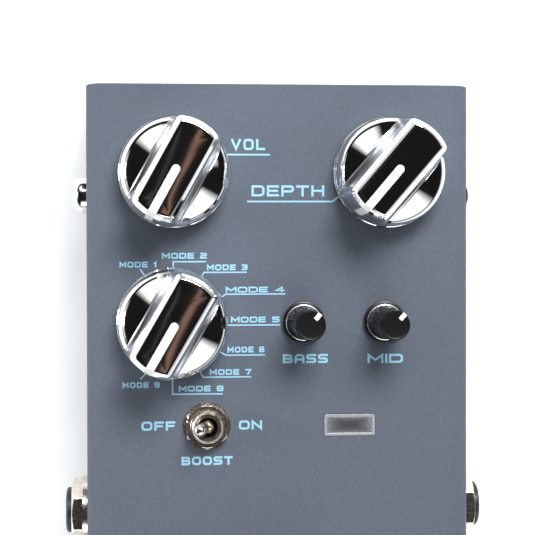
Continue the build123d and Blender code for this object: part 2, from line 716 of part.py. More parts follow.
lean = math.radians(TOGGLE_LEAN)
lever_up = (-math.sin(lean), 0, math.cos(lean))
lever_plane = Plane(origin=(TOGGLE[0], TOGGLE[1], PIVOT), x_dir=(0, 1, 0), z_dir=lever_up)
lever_section = Plane(origin=lever_plane.origin, x_dir=lever_plane.x_dir, z_dir=-lever_plane.y_dir)
ball_height = math.sqrt(LEVER_BALL**2 - LEVER_NECK**2)
with BuildPart() as toggle_lever:
    with BuildSketch(lever_section):
        with BuildLine():
            Line((0, -LEVER_TAIL), (LEVER_NECK, -LEVER_TAIL))
            Line((LEVER_NECK, -LEVER_TAIL), (LEVER_NECK, -ball_height))
            ThreePointArc((LEVER_NECK, -ball_height), (LEVER_BALL, 0), (LEVER_NECK, ball_height))
            Line((LEVER_NECK, ball_height), (LEVER_TIP, LEVER_REACH - LEVER_TIP))
            CenterArc((0, LEVER_REACH - LEVER_TIP), LEVER_TIP, 0, 90)
            Line((0, LEVER_REACH), (0, -LEVER_TAIL))
        make_face()
    revolve(axis=Axis(lever_plane.origin, lever_plane.z_dir))
save(toggle_lever, "toggle_lever")

# ---------------------------------------------------------------- footswitch
SWITCH_FLOOR = 27.0
SWITCH_BOTTOM = 21.0
BUSHING_TOP = PANEL_TOP + 9.5
SHOULDER = PANEL_TOP + 3.0
PLUNGER_TOP = KNOB_BASE + KNOB_HEIGHT
PLUNGER_RADIUS = 4.5
FLANGE_TOP = SHOULDER - 0.1
FLANGE_THICK = 1.5
SWITCH_CAVITY = 5.4
SWITCH_SQUARE = 17.5
PLUNGER_CLEARANCE = 0.06
PLUNGER_STEM = 9.5
FOOTSWITCH_WASHER = 0.8
LUG_AT = ((-4.5, -4.0), (4.5, -4.0), (-4.5, 4.0), (4.5, 4.0))

with BuildPart() as footswitch_body:
    with BuildSketch(upright(FOOTSWITCH, SWITCH_BOTTOM)):
        RectangleRounded(SWITCH_SQUARE, SWITCH_SQUARE, 1.0)
    extrude(amount=PANEL_BACK - SWITCH_BOTTOM)
    with BuildSketch(upright(FOOTSWITCH, PANEL_BACK)):
        Circle(SWITCH_CAVITY)
    extrude(amount=SWITCH_FLOOR - PANEL_BACK, mode=Mode.SUBTRACT)
    with BuildSketch(upright(FOOTSWITCH, SWITCH_BOTTOM)):
        with Locations(*LUG_AT):
            Rectangle(2.4, 0.8)
    extrude(amount=-4.0)
save(footswitch_body, "footswitch_body")

with BuildPart() as footswitch_bushing:
    with BuildSketch(upright(FOOTSWITCH, PANEL_BACK)):
        Circle(FOOTSWITCH_THREAD_RADIUS)
    extrude(amount=BUSHING_TOP - PANEL_BACK)
    chamfer(footswitch_bushing.edges().group_by(Axis.Z)[-1], 0.5)
    with BuildSketch(upright(FOOTSWITCH, PANEL_BACK)):
        Circle(SWITCH_CAVITY)
    extrude(amount=SHOULDER - PANEL_BACK, mode=Mode.SUBTRACT)
    with BuildSketch(upright(FOOTSWITCH, PANEL_BACK)):
        Circle(PLUNGER_RADIUS + PLUNGER_CLEARANCE)
    extrude(amount=BUSHING_TOP - PANEL_BACK, mode=Mode.SUBTRACT)
save(footswitch_bushing, "footswitch_bushing")

with BuildPart() as footswitch_washer:
    with BuildSketch(upright(FOOTSWITCH, PANEL_TOP)):
        Circle(9.0)
        Circle(FOOTSWITCH_THREAD_RADIUS + HOLE_GAP, mode=Mode.SUBTRACT)
    extrude(amount=FOOTSWITCH_WASHER)
save(footswitch_washer, "footswitch_washer")
footswitch_seat = upright(FOOTSWITCH, PANEL_TOP + FOOTSWITCH_WASHER)
footswitch_nut = chamfered_nut(footswitch_seat, 8.1, FOOTSWITCH_THREAD_RADIUS + FIT_GAP, 3.0)
save(footswitch_nut, "footswitch_nut")

with BuildPart() as footswitch_plunger:
    with BuildSketch(upright(FOOTSWITCH, FLANGE_TOP)):
        Circle(PLUNGER_RADIUS)
    extrude(amount=PLUNGER_TOP - FLANGE_TOP)
    fillet(footswitch_plunger.edges().group_by(Axis.Z)[-1], 1.6)
    with BuildSketch(upright(FOOTSWITCH, FLANGE_TOP)):
        Circle(SWITCH_CAVITY - 0.15)
    extrude(amount=-FLANGE_THICK)
    with BuildSketch(upright(FOOTSWITCH, FLANGE_TOP)):
        Circle(2.0)
    extrude(amount=-PLUNGER_STEM)
save(footswitch_plunger, "footswitch_plunger")

SPRING_RADIUS = 3.6
SPRING_WIRE = 0.8
SPRING_BOTTOM = SWITCH_FLOOR + SPRING_WIRE / 2 + FIT_GAP
SPRING_TOP = FLANGE_TOP - FLANGE_THICK - SPRING_WIRE / 2 - FIT_GAP
SPRING_TURNS = 6
spring_rise = SPRING_TOP - SPRING_BOTTOM
spring_start = Plane(
    origin=(FOOTSWITCH[0] + SPRING_RADIUS, FOOTSWITCH[1], SPRING_BOTTOM),
    x_dir=(1, 0, 0),
    z_dir=(0, 1, 0),
)
with BuildPart() as footswitch_spring:
    with BuildLine():
        Helix(spring_rise / SPRING_TURNS, spring_rise, SPRING_RADIUS, center=(*FOOTSWITCH, SPRING_BOTTOM))
    with BuildSketch(spring_start):
        Circle(SPRING_WIRE / 2)
    sweep(is_frenet=True)
save(footswitch_spring, "footswitch_spring")

WIRE_RADIUS = 0.7
LUG_FACE = FOOTSWITCH[1] + LUG_AT[2][1] + 0.4
LUG_LEVEL = SWITCH_BOTTOM - 3.0
wire_parts = []
for x, y in LUG_AT[2:]:
    route_points = [
        (x, LUG_FACE, LUG_LEVEL),
        (x, LUG_FACE + 5.0, LUG_LEVEL),
        (x, LUG_FACE + 10.5, LUG_LEVEL + 2.0),
        (x, LUG_FACE + 13.5, MAIN_BOARD_TOP),
    ]
    with BuildPart() as wire:
        with BuildLine():
            FilletPolyline(*route_points, radius=2.0)
        with BuildSketch(Plane(origin=route_points[0], x_dir=(1, 0, 0), z_dir=(0, 1, 0))):
            Circle(WIRE_RADIUS)
        sweep()
    wire_parts.append(wire.part)
with BuildPart() as footswitch_wires:
    add(wire_parts)
    split(bisect_by=Plane.XY.offset(MAIN_BOARD_TOP), keep=Keep.TOP)
save(footswitch_wires, "footswitch_wires")


# ---------------------------------------------------------------- jacks
def jack_plane(side, distance):
    """Plane on a jack's axis at a distance from the case's middle, facing outwards."""
    return Plane(origin=(side * distance, JACK_Y, JACK_Z), x_dir=(0, side, 0), z_dir=(side, 0, 0))


JACK_MOUTH = WIDTH / 2 + JACK_REACH
JACK_BORE_LENGTH = 28.5


def jack(side):
    """Enclosed socket for a quarter-inch plug: square body, threaded nose and one plain bore."""
    with BuildPart() as socket:
        with BuildSketch(jack_plane(side, SIDE_INNER)):
            RectangleRounded(15.0, 15.0, 0.8)
        extrude(amount=-JACK_DEPTH)
        with BuildSketch(jack_plane(side, SIDE_INNER)):
            Circle(JACK_THREAD_RADIUS)
        extrude(amount=JACK_MOUTH - SIDE_INNER)
        nose = socket.faces().sort_by(Axis((0, 0, 0), (side, 0, 0)))[-1]
        chamfer(nose.edges(), 0.4)
        with BuildSketch(jack_plane(side, JACK_MOUTH)):
            Circle(JACK_BORE_RADIUS)
        extrude(amount=-JACK_BORE_LENGTH, mode=Mode.SUBTRACT)
    return socket


save(jack(1), "input_jack")
save(jack(-1), "output_jack")

with BuildPart() as jack_washers:
    for side in (-1, 1):
        with BuildSketch(jack_plane(side, WIDTH / 2)):
            Circle(7.0)
            Circle(JACK_THREAD_RADIUS + HOLE_GAP, mode=Mode.SUBTRACT)
        extrude(amount=WASHER_THICK)
save(jack_washers, "jack_washers")

jack_nut_parts = []
for side in (-1, 1):
    nut_seat = jack_plane(side, WIDTH / 2 + WASHER_THICK)
    jack_nut = chamfered_nut(nut_seat, 6.6, JACK_THREAD_RADIUS + FIT_GAP, NUT_THICK, crown=0.4)
    jack_nut_parts.append(jack_nut.part)
with BuildPart() as jack_nuts:
    add(jack_nut_parts)
save(jack_nuts, "jack_nuts")

CONTACT_LENGTH = 16.0
with BuildPart() as jack_contacts:
    for side in (-1, 1):
        for shift in (-4.5, 0.0, 4.5):
            with Locations((side * (SIDE_INNER - 12.5), JACK_Y + shift, JACK_Z + 7.5)):
                Box(CONTACT_LENGTH, 2.6, 0.4, align=(Align.CENTER, Align.CENTER, Align.MIN))
save(jack_contacts, "jack_contacts")

# ---------------------------------------------------------------- power socket
DC_PIN_SETBACK = 3.2
dc_face = Plane(origin=(0, END_FACE, DC_Z), x_dir=(-1, 0, 0), z_dir=(0, 1, 0))
with BuildPart() as dc_socket:
    with BuildSketch(dc_face.offset(-SHEET)):
        Rectangle(9.0, 11.0)
    extrude(amount=-13.0)
    with BuildSketch(dc_face.offset(-SHEET)):
        Circle(4.0)
    extrude(amount=SHEET)
    with BuildSketch(dc_face):
        Circle(DC_MOUTH_RADIUS)
    extrude(amount=-DC_MOUTH_DEPTH, mode=Mode.SUBTRACT)
    with BuildSketch(dc_face):
        Circle(DC_BORE_RADIUS)
    extrude(amount=-DC_BORE_DEPTH, mode=Mode.SUBTRACT)
save(dc_socket, "dc_socket")

with BuildPart() as dc_pin:
    with BuildSketch(dc_face.offset(-DC_BORE_DEPTH)):
        Circle(1.05)
    extrude(amount=DC_BORE_DEPTH - DC_PIN_SETBACK)
    fillet(dc_pin.edges().group_by(Axis.Y)[-1], 0.5)
save(dc_pin, "dc_pin")
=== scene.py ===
import json
import math

import bpy
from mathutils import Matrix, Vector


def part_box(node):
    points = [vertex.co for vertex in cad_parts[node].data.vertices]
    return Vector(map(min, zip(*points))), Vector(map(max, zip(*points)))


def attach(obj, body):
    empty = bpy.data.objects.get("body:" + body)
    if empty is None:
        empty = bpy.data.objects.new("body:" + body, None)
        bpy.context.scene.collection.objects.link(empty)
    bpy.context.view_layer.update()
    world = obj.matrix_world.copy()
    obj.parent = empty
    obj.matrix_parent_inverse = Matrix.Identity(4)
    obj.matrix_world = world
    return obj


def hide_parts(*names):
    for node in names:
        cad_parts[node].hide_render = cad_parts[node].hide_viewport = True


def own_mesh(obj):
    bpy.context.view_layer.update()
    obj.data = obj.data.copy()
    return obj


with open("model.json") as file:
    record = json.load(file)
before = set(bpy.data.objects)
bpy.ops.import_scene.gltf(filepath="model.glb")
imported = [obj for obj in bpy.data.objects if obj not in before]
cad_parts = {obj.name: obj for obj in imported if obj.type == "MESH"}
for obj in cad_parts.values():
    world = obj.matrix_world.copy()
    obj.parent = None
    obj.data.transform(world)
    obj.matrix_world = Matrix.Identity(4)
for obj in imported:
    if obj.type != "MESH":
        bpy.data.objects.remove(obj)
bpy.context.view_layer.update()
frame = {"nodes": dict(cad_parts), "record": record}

MM = 0.001
# height of the panel above the floor, in millimetres
PANEL = 38.0

# bar knobs in millimetres; KNOB_BASE is above the floor, the other heights are above the knob's underside
KNOB_BASE = 38.5
KNOB_HEIGHT = 14.5
WALL_RADIUS = 10.6
LIP_RADIUS = 10.9
LIP_BORE = 7.0
LIP_HEIGHT = 0.8
DOME_TOP = 9.2
DOME_RADIUS = 18.0
SHOULDER = 2.5
GROOVE_DROP = 2.0
GROOVE_STEP = 0.5
CHEEK_EDGE = 5.4
# facet along a cheek's straight edge, as distance in from the edge and depth under the dome
CHEEK_FACET = ((0.0, 0.5), (0.02, 0.4), (0.06, 0.34), (0.26, 0.1), (0.32, 0.04), (0.38, 0.01), (0.46, 0.0))
CHEEK_CORNER = 0.6
CHEEK_ROWS = 56
CHEEK_COLUMNS = 12
CHEEK_SKIRT = GROOVE_DROP - 0.3
BAR_HALF_WIDTH = 4.4
BAR_RADIUS = 10.1
BAR_DRAFT = math.tan(math.radians(3.5))
BAR_FOOT = 3.0
BAR_BEVEL = 1.1
BAR_CORNER = 1.2
BEVEL_DROP = 1.25
BAR_CROWN = 0.1
BAR_LEVELS = (BAR_FOOT, 5.5, 8.0, 10.5, 12.5)
BAR_TOP_INSETS = (1.5, 2.0, 2.6, 3.2, 3.8, 4.2)
SIDE_STEPS = 4
CORNER_STEPS = 6
END_STEPS = 16
POINTER_HALF = 0.85
POINTER_RISE = 0.06
POINTER_FOOT = 5.0
POINTER_COLUMNS = (-1.0, -0.93, -0.4, 0.4, 0.93, 1.0)
POINTER_SINK = 0.12
KNOB_SEGMENTS = 160
ROUNDING_STEPS = 8
LAP = 0.01
BAR_TOP = KNOB_HEIGHT - POINTER_RISE - BAR_CROWN
WALL_TOP = BAR_TOP - BEVEL_DROP - 0.25

# small knobs, measured likewise from SMALL_BASE
SMALL_BASE = 38.4
SMALL_HEIGHT = 13.0
SMALL_FLANGE = 4.15
FLANGE_BORE = 2.4
FLANGE_TOP = 1.0
KNURL_FOOT = 3.1
KNURL_CROWN = 2.95
KNURL_TEETH = 40
KNURL_DEPTH = 0.26
KNURL_SAMPLES = 6
TAPER_START = 1.5
KNURL_START = 1.7
KNURL_END = SMALL_HEIGHT - 0.9
KNURL_RINGS = 9
BAND_RADIUS = 3.65
MARK_HALF = 0.45

# headings of the pointers at rest, clockwise from the rear edge, in degrees
BAR_KNOBS = {"mix": 209.0, "decay": 220.5, "mode": 210.0}
SMALL_KNOBS = {"tone": 38.5, "mod": 42.0}


# ---------------------------------------------------------------- geometry
def centre_of(node):
    """Middle of a CAD node in plan, in millimetres."""
    low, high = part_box(node)
    return ((low[0] + high[0]) / 2 / MM, (low[1] + high[1]) / 2 / MM)


def placed(points, centre, heading, base):
    """Points in a control's own axes, turned clockwise from +Y by the heading and moved to its place."""
    turn = math.radians(heading)
    cosine, sine = math.cos(turn), math.sin(turn)
    return [
        (centre[0] + x * cosine + y * sine, centre[1] - x * sine + y * cosine, base + z)
        for x, y, z in points
    ]


def add_piece(name, points, faces, material, body, replaced=(), sharp=40):
    """Mesh piece from points in millimetres, smooth except at edges sharper than an angle."""
    mesh = bpy.data.meshes.new(name)
    mesh.from_pydata([(x * MM, y * MM, z * MM) for x, y, z in points], [], faces)
    mesh.validate()
    mesh.polygons.foreach_set("use_smooth", [True] * len(mesh.polygons))
    mesh.set_sharp_from_angle(angle=math.radians(sharp))
    mesh.materials.append(material)
    piece = bpy.data.objects.new(name, mesh)
    bpy.context.scene.collection.objects.link(piece)
    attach(piece, body)
    if replaced:
        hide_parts(*replaced)
    return piece


def loft(rings, cap_first=False, cap_last=False):
    """Points and faces of a closed skin through rings that have the same number of points."""
    count = len(rings[0])
    points = [point for ring in rings for point in ring]
    faces = []
    for level in range(len(rings) - 1):
        low, high = level * count, (level + 1) * count
        for i in range(count):
            j = (i + 1) % count
            faces.append((low + i, low + j, high + j, high + i))
    if cap_first:
        faces.append(tuple(reversed(range(count))))
    if cap_last:
        faces.append(tuple(range((len(rings) - 1) * count, len(rings) * count)))
    return points, faces


def grid_faces(rows, columns):
    """Faces of an open sheet of points that are given row by row."""
    faces = []
    for row in range(rows - 1):
        for i in range(columns - 1):
            a = row * columns + i
            faces.append((a, a + 1, a + columns + 1, a + columns))
    return faces


def joined(*shapes):
    """Several (points, faces) shapes as one."""
    points, faces = [], []
    for shape_points, shape_faces in shapes:
        start = len(points)
        points.extend(shape_points)
        faces.extend(tuple(i + start for i in face) for face in shape_faces)
    return points, faces


def turned(profile, segments=96):
    """Skin of revolution through (radius, height) pairs, as rings."""
    rings = []
    for radius, height in profile:
        rings.append(
            [
                (
                    radius * math.cos(2 * math.pi * i / segments),
                    radius * math.sin(2 * math.pi * i / segments),
                    height,
                )
                for i in range(segments)
            ]
        )
    return rings


def quarter(steps):
    """Angles from 0 to 90 degrees, in radians, ends included."""
    return [math.pi / 2 * i / steps for i in range(steps + 1)]


# ---------------------------------------------------------------- materials
def node_material(name, colour, roughness, metallic=0.0, **sockets):
    """Material with a Principled shader; other sockets are given by name, with _ for a space."""
    material = bpy.data.materials.new(name)
    material.use_nodes = True
    shader = material.node_tree.nodes["Principled BSDF"]
    shader.inputs["Base Color"].default_value = (*colour, 1)
    shader.inputs["Roughness"].default_value = roughness
    shader.inputs["Metallic"].default_value = metallic
    for socket, value in sockets.items():
        shader.inputs[socket.replace("_", " ")].default_value = value
    return material


def noise(material, size, detail=2.0, stretch=(1, 1, 1)):
    """Noise whose features are about size millimetres wide, on the object's own coordinates."""
    nodes, links = material.node_tree.nodes, material.node_tree.links
    place = nodes.new("ShaderNodeTexCoord")
    scaling = nodes.new("ShaderNodeMapping")
    scaling.inputs["Scale"].default_value = stretch
    texture = nodes.new("ShaderNodeTexNoise")
    texture.inputs["Scale"].default_value = 1 / (size * MM)
    texture.inputs["Detail"].default_value = detail
    links.new(place.outputs["Object"], scaling.inputs["Vector"])
    links.new(scaling.outputs["Vector"], texture.inputs["Vector"])
    return texture.outputs["Fac"]


def math_node(tree, operation, *values):
    """Math node in a node tree; a value is a number or a socket."""
    node = tree.nodes.new("ShaderNodeMath")
    node.operation = operation
    for socket, value in zip(node.inputs, values):
        if isinstance(value, (int, float)):
            socket.default_value = value
        else:
            tree.links.new(value, socket)
    return node.outputs["Value"]


def ramp(tree, factor, stops):
    """Colour ramp in a node tree over a factor; stops are (position, colour)."""
    node = tree.nodes.new("ShaderNodeValToRGB")
    tree.links.new(factor, node.inputs["Fac"])
    elements = node.color_ramp.elements
    for element, (position, colour) in zip(elements, stops):
        element.position = position
        element.color = (*colour, 1)
    for position, colour in stops[2:]:
        elements.new(position).color = (*colour, 1)
    return node.outputs["Color"]


def vary_colour(material, factor, stops):
    """Base colour from a ramp over a factor."""
    shader = material.node_tree.nodes["Principled BSDF"]
    material.node_tree.links.new(ramp(material.node_tree, factor, stops), shader.inputs["Base Color"])


def vary_roughness(material, factor, low, high):
    """Roughness between low and high, following a factor."""
    node = material.node_tree.nodes.new("ShaderNodeMapRange")
    node.inputs["To Min"].default_value = low
    node.inputs["To Max"].default_value = high
    material.node_tree.links.new(factor, node.inputs["Value"])
    shader = material.node_tree.nodes["Principled BSDF"]
    material.node_tree.links.new(node.outputs["Result"], shader.inputs["Roughness"])


def bump(material, factor, depth, strength=1.0):
    """Bump of a depth in millimetres, following a factor, on top of any bump already there."""
    nodes, links = material.node_tree.nodes, material.node_tree.links
    shader = nodes["Principled BSDF"]
    node = nodes.new("ShaderNodeBump")
    node.inputs["Strength"].default_value = strength
    node.inputs["Distance"].default_value = depth * MM
    links.new(factor, node.inputs["Height"])
    if shader.inputs["Normal"].is_linked:
        links.new(shader.inputs["Normal"].links[0].from_socket, node.inputs["Normal"])
    links.new(node.outputs["Normal"], shader.inputs["Normal"])


def shade(colour, factor):
    """A colour made lighter or darker."""
    return tuple(min(1.0, channel * factor) for channel in colour)


PAINT = (0.13, 0.152, 0.192)
paint = node_material("case_paint", PAINT, 0.55, Specular_IOR_Level=0.08)
vary_colour(paint, noise(paint, 0.35, 3), [(0.3, shade(PAINT, 0.9)), (0.7, shade(PAINT, 1.1))])
bump(paint, noise(paint, 0.28, 2), 0.02, 0.35)

CHASSIS = (0.03, 0.034, 0.04)
chassis = node_material("chassis_paint", CHASSIS, 0.4)
vary_colour(chassis, noise(chassis, 0.5, 3), [(0.3, shade(CHASSIS, 0.85)), (0.7, shade(CHASSIS, 1.2))])
bump(chassis, noise(chassis, 0.3, 2), 0.02, 0.35)

chrome = node_material("chrome_knob", (0.9, 0.9, 0.91), 0.05, 1.0)
vary_roughness(chrome, noise(chrome, 4.0, 3), 0.03, 0.08)

GROOVE = (0.72, 0.74, 0.77)
groove_chrome = node_material("groove_chrome", GROOVE, 0.3, 1.0)
groove_stops = [(0.3, shade(GROOVE, 0.94)), (0.7, shade(GROOVE, 1.05))]
vary_colour(groove_chrome, noise(groove_chrome, 1.2, 3), groove_stops)

NICKEL = (0.8, 0.735, 0.66)
nickel = node_material("nickel", NICKEL, 0.2, 1.0)
vary_colour(nickel, noise(nickel, 1.0, 3), [(0.32, shade(NICKEL, 0.86)), (0.66, shade(NICKEL, 1.1))])
vary_roughness(nickel, noise(nickel, 0.6, 3), 0.14, 0.34)
bump(nickel, noise(nickel, 0.6, 2), 0.015, 0.2)

screw_steel = node_material("steel_screw", (0.8, 0.8, 0.8), 0.12, 1.0)
vary_roughness(screw_steel, noise(screw_steel, 0.6, 3), 0.08, 0.18)

pointer_white = node_material("pointer_white", (0.9, 0.91, 0.91), 0.25)
vary_roughness(pointer_white, noise(pointer_white, 0.8, 2), 0.2, 0.35)

BLACK = (0.008, 0.008, 0.009)
black_knob = node_material("black_knob", BLACK, 0.28)
vary_roughness(black_knob, noise(black_knob, 0.3, 2), 0.22, 0.36)
bump(black_knob, noise(black_knob, 0.15, 2), 0.01, 0.3)

silver = node_material("silver_ring", (0.75, 0.75, 0.74), 0.22, 1.0)
vary_roughness(silver, noise(silver, 0.4, 2, (1, 1, 8)), 0.15, 0.3)

FROST = (0.085, 0.084, 0.09)
window = node_material("window_plastic", FROST, 0.38)
vary_colour(window, noise(window, 0.3, 3), [(0.36, shade(FROST, 0.72)), (0.64, shade(FROST, 1.35))])
vary_roughness(window, noise(window, 0.5, 2), 0.3, 0.5)
bump(window, noise(window, 0.25, 2), 0.03, 0.5)

# the window's rim is the frosted plastic painted much paler, a painted highlight along its bevelled edge
FROST_PAINTED_HIGHLIGHT = (0.36, 0.39, 0.43)
window_rim_painted_highlight = node_material("window_rim_painted_highlight", FROST_PAINTED_HIGHLIGHT, 0.3)
painted_highlight_stops = [(0.35, shade(FROST_PAINTED_HIGHLIGHT, 0.85)), (0.65, shade(FROST_PAINTED_HIGHLIGHT, 1.15))]
vary_colour(window_rim_painted_highlight, noise(window_rim_painted_highlight, 0.4, 2), painted_highlight_stops)

RUBBER = (0.018, 0.018, 0.019)
rubber = node_material("rubber", RUBBER, 0.7)
vary_roughness(rubber, noise(rubber, 0.6, 3), 0.6, 0.85)
bump(rubber, noise(rubber, 0.4, 2), 0.03, 0.4)

board = node_material("board_green", (0.015, 0.11, 0.04), 0.3, Coat_Weight=0.4)
vary_colour(board, noise(board, 2.5, 4), [(0.35, (0.012, 0.09, 0.035)), (0.65, (0.02, 0.13, 0.05))])

black_plastic = node_material("black_plastic", (0.018, 0.018, 0.02), 0.4)
vary_roughness(black_plastic, noise(black_plastic, 0.5, 2), 0.34, 0.5)
bump(black_plastic, noise(black_plastic, 0.2, 2), 0.01, 0.25)

zinc = node_material("zinc", (0.62, 0.63, 0.64), 0.3, 1.0)
vary_colour(zinc, noise(zinc, 1.2, 3), [(0.3, (0.55, 0.56, 0.57)), (0.7, (0.7, 0.7, 0.71))])

can = node_material("capacitor_can", (0.7, 0.71, 0.73), 0.28, 1.0)
vary_roughness(can, noise(can, 0.5, 2, (1, 1, 6)), 0.22, 0.38)

brass = node_material("contact_brass", (0.78, 0.6, 0.3), 0.25, 1.0)
vary_roughness(brass, noise(brass, 0.6, 2), 0.2, 0.35)

led = node_material("led_package", (0.8, 0.79, 0.68), 0.35, Subsurface_Weight=0.1)
vary_roughness(led, noise(led, 0.4, 2), 0.3, 0.42)

wire = node_material("wire_jacket", (0.4, 0.02, 0.02), 0.4)
vary_roughness(wire, noise(wire, 0.8, 2), 0.35, 0.5)

# frosted lens: dark in the middle over the unlit lamp, paler towards its ends and sides, where light caught
# in its frosted edges is painted in
window_lens_painted_light = node_material("window_lens_painted_light", FROST, 0.4)
lens_tree = window_lens_painted_light.node_tree
lens_place = lens_tree.nodes.new("ShaderNodeTexCoord")
lens_split = lens_tree.nodes.new("ShaderNodeSeparateXYZ")
lens_tree.links.new(lens_place.outputs["Generated"], lens_split.inputs["Vector"])
from_middle = []
for axis in ("X", "Y"):
    centred = math_node(lens_tree, "MULTIPLY_ADD", lens_split.outputs[axis], 2.0, -1.0)
    from_middle.append(math_node(lens_tree, "ABSOLUTE", centred))
furthest = math_node(lens_tree, "MAXIMUM", *from_middle)
painted_edge_light = math_node(lens_tree, "MULTIPLY_ADD", noise(window_lens_painted_light, 0.35, 4), 0.7, furthest)
# stops from the dark middle out to the painted edge light
LENS_PAINTED_LIGHT_STOPS = [
    (0.38, (0.06, 0.06, 0.064)),
    (0.58, (0.105, 0.107, 0.115)),
    (0.72, (0.17, 0.18, 0.2)),
    (0.85, (0.3, 0.32, 0.35)),
]
vary_colour(window_lens_painted_light, math_node(lens_tree, "MULTIPLY", painted_edge_light, 0.6), LENS_PAINTED_LIGHT_STOPS)
bump(window_lens_painted_light, noise(window_lens_painted_light, 0.25, 2), 0.03, 0.5)

INK = (0.38, 0.71, 0.92)
ink = node_material("legend_ink", INK, 0.5)
vary_colour(ink, noise(ink, 0.18, 2), [(0.35, shade(INK, 0.88)), (0.65, shade(INK, 1.05))])

MATERIALS = {
    "case_paint": paint,
    "chassis_paint": chassis,
    "chrome_knob": chrome,
    "nickel": nickel,
    "steel_screw": screw_steel,
    "pointer_white": pointer_white,
    "black_knob": black_knob,
    "silver_ring": silver,
    "window_plastic": window,
    "rubber": rubber,
    "board_green": board,
    "black_plastic": black_plastic,
    "zinc": zinc,
    "capacitor_can": can,
    "contact_brass": brass,
    "led_package": led,
    "wire_jacket": wire,
}
# the CAD nodes that stay visible get these materials on their own slots
for part in frame["record"]["subparts"]:
    for material_slot in frame["nodes"][part["node"]].material_slots:
        material_slot.material = MATERIALS[part["material_slot"]]


# ---------------------------------------------------------------- bar knobs
DOME_CENTRE = DOME_TOP - DOME_RADIUS
SHOULDER_AT = WALL_RADIUS - SHOULDER
SHOULDER_CENTRE = DOME_CENTRE + math.sqrt((DOME_RADIUS - SHOULDER) ** 2 - SHOULDER_AT**2)
SHOULDER_JOIN = SHOULDER_AT * DOME_RADIUS / (DOME_RADIUS - SHOULDER)


def dome(radius):
    """Height of the knob's dome at a radius, with its shoulder rounded into the wall."""
    if radius <= SHOULDER_JOIN:
        return DOME_CENTRE + math.sqrt(DOME_RADIUS**2 - radius**2)
    return SHOULDER_CENTRE + math.sqrt(max(0.0, SHOULDER**2 - (radius - SHOULDER_AT) ** 2))


def bar_outline(half_width, reach, corner, inset):
    """Closed outline of the bar: two straight sides and two arc ends, corners rounded, all inset."""
    rounding = max(corner, inset)
    cx = half_width - rounding
    cy = math.sqrt((reach - rounding) ** 2 - cx**2)
    radius = rounding - inset
    lean = math.atan2(cx, cy)
    points = []
    for step in range(-SIDE_STEPS, SIDE_STEPS + 1):
        points.append((half_width - inset, cy * step / SIDE_STEPS))
    for step in range(1, CORNER_STEPS + 1):
        angle = (math.pi / 2 - lean) * step / CORNER_STEPS
        points.append((cx + radius * math.cos(angle), cy + radius * math.sin(angle)))
    for step in range(1, END_STEPS):
        angle = lean * (1 - 2 * step / END_STEPS)
        points.append(((reach - inset) * math.sin(angle), (reach - inset) * math.cos(angle)))
    for step in range(CORNER_STEPS):
        angle = math.pi / 2 + lean + (math.pi / 2 - lean) * step / CORNER_STEPS
        points.append((-cx + radius * math.cos(angle), cy + radius * math.sin(angle)))
    return points + [(-x, -y) for x, y in points]


def bar_ring(height, inset):
    """One level of the bar, widened by its draft and raised along its middle near the top."""
    spread = BAR_DRAFT * (KNOB_HEIGHT - height)
    crown = BAR_CROWN if height > WALL_TOP + LAP else 0.0
    outline = bar_outline(BAR_HALF_WIDTH + spread, BAR_RADIUS + spread, BAR_CORNER, inset)
    return [(x, y, height + crown * (1 - (x / BAR_HALF_WIDTH) ** 2)) for x, y in outline]


def cheek(side):
    """One domed cheek of the knob, in rows from its straight edge across to its arc."""
    reach = CHEEK_EDGE + CHEEK_CORNER + 2 * LAP
    end = math.sqrt(WALL_RADIUS**2 - reach**2)
    near = [step for step, drop in CHEEK_FACET]
    far = [SHOULDER * (1 - math.cos(angle)) for angle in quarter(ROUNDING_STEPS)]
    points = []
    for row in range(CHEEK_ROWS + 1):
        y = end * math.sin(math.pi * (row / CHEEK_ROWS - 0.5))
        into_corner = max(0.0, (abs(y) - (end - CHEEK_CORNER)) / CHEEK_CORNER)
        left = CHEEK_EDGE + CHEEK_CORNER * (1 - math.sqrt(max(0.0, 1 - into_corner**2)))
        right = math.sqrt(WALL_RADIUS**2 - y**2)
        width = right - left
        squeeze = min(1.0, 0.9 * width / (near[-1] + SHOULDER))
        start, stop = left + near[-1] * squeeze, right - far[-1] * squeeze
        across = [left + step * squeeze for step in near]
        across += [start + (stop - start) * i / CHEEK_COLUMNS for i in range(1, CHEEK_COLUMNS)]
        across += [right - step * squeeze for step in reversed(far)]
        line = []
        for i, x in enumerate(across):
            drop = CHEEK_FACET[i][1] if i < len(near) else 0.0
            line.append((x, y, dome(min(WALL_RADIUS, math.hypot(x, y))) - drop))
        line.insert(0, (line[0][0], y, line[0][2] - CHEEK_SKIRT))
        line.append((line[-1][0], y, line[-1][2] - CHEEK_SKIRT))
        points.extend(line)
    count = len(line)
    faces = grid_faces(CHEEK_ROWS + 1, count)
    faces.append(tuple(reversed(range(count))))
    faces.append(tuple(range(CHEEK_ROWS * count, (CHEEK_ROWS + 1) * count)))
    if side < 0:
        points = [(-x, -y, z) for x, y, z in points]
    return points, faces


def knob_base():
    """Lip and wall of the knob; the wall stands just inside the cheeks' arcs."""
    wall = WALL_RADIUS - LAP
    profile = [
        (LIP_BORE, 0.0),
        (LIP_RADIUS, 0.0),
        (LIP_RADIUS, LIP_HEIGHT - 0.15),
        (LIP_RADIUS - 0.05, LIP_HEIGHT - 0.03),
        (WALL_RADIUS + 0.1, LIP_HEIGHT + 0.02),
        (wall, LIP_HEIGHT + 0.12),
        (wall, 2 * LIP_HEIGHT),
        (wall, SHOULDER_CENTRE - GROOVE_DROP),
    ]
    return loft(turned(profile, KNOB_SEGMENTS))


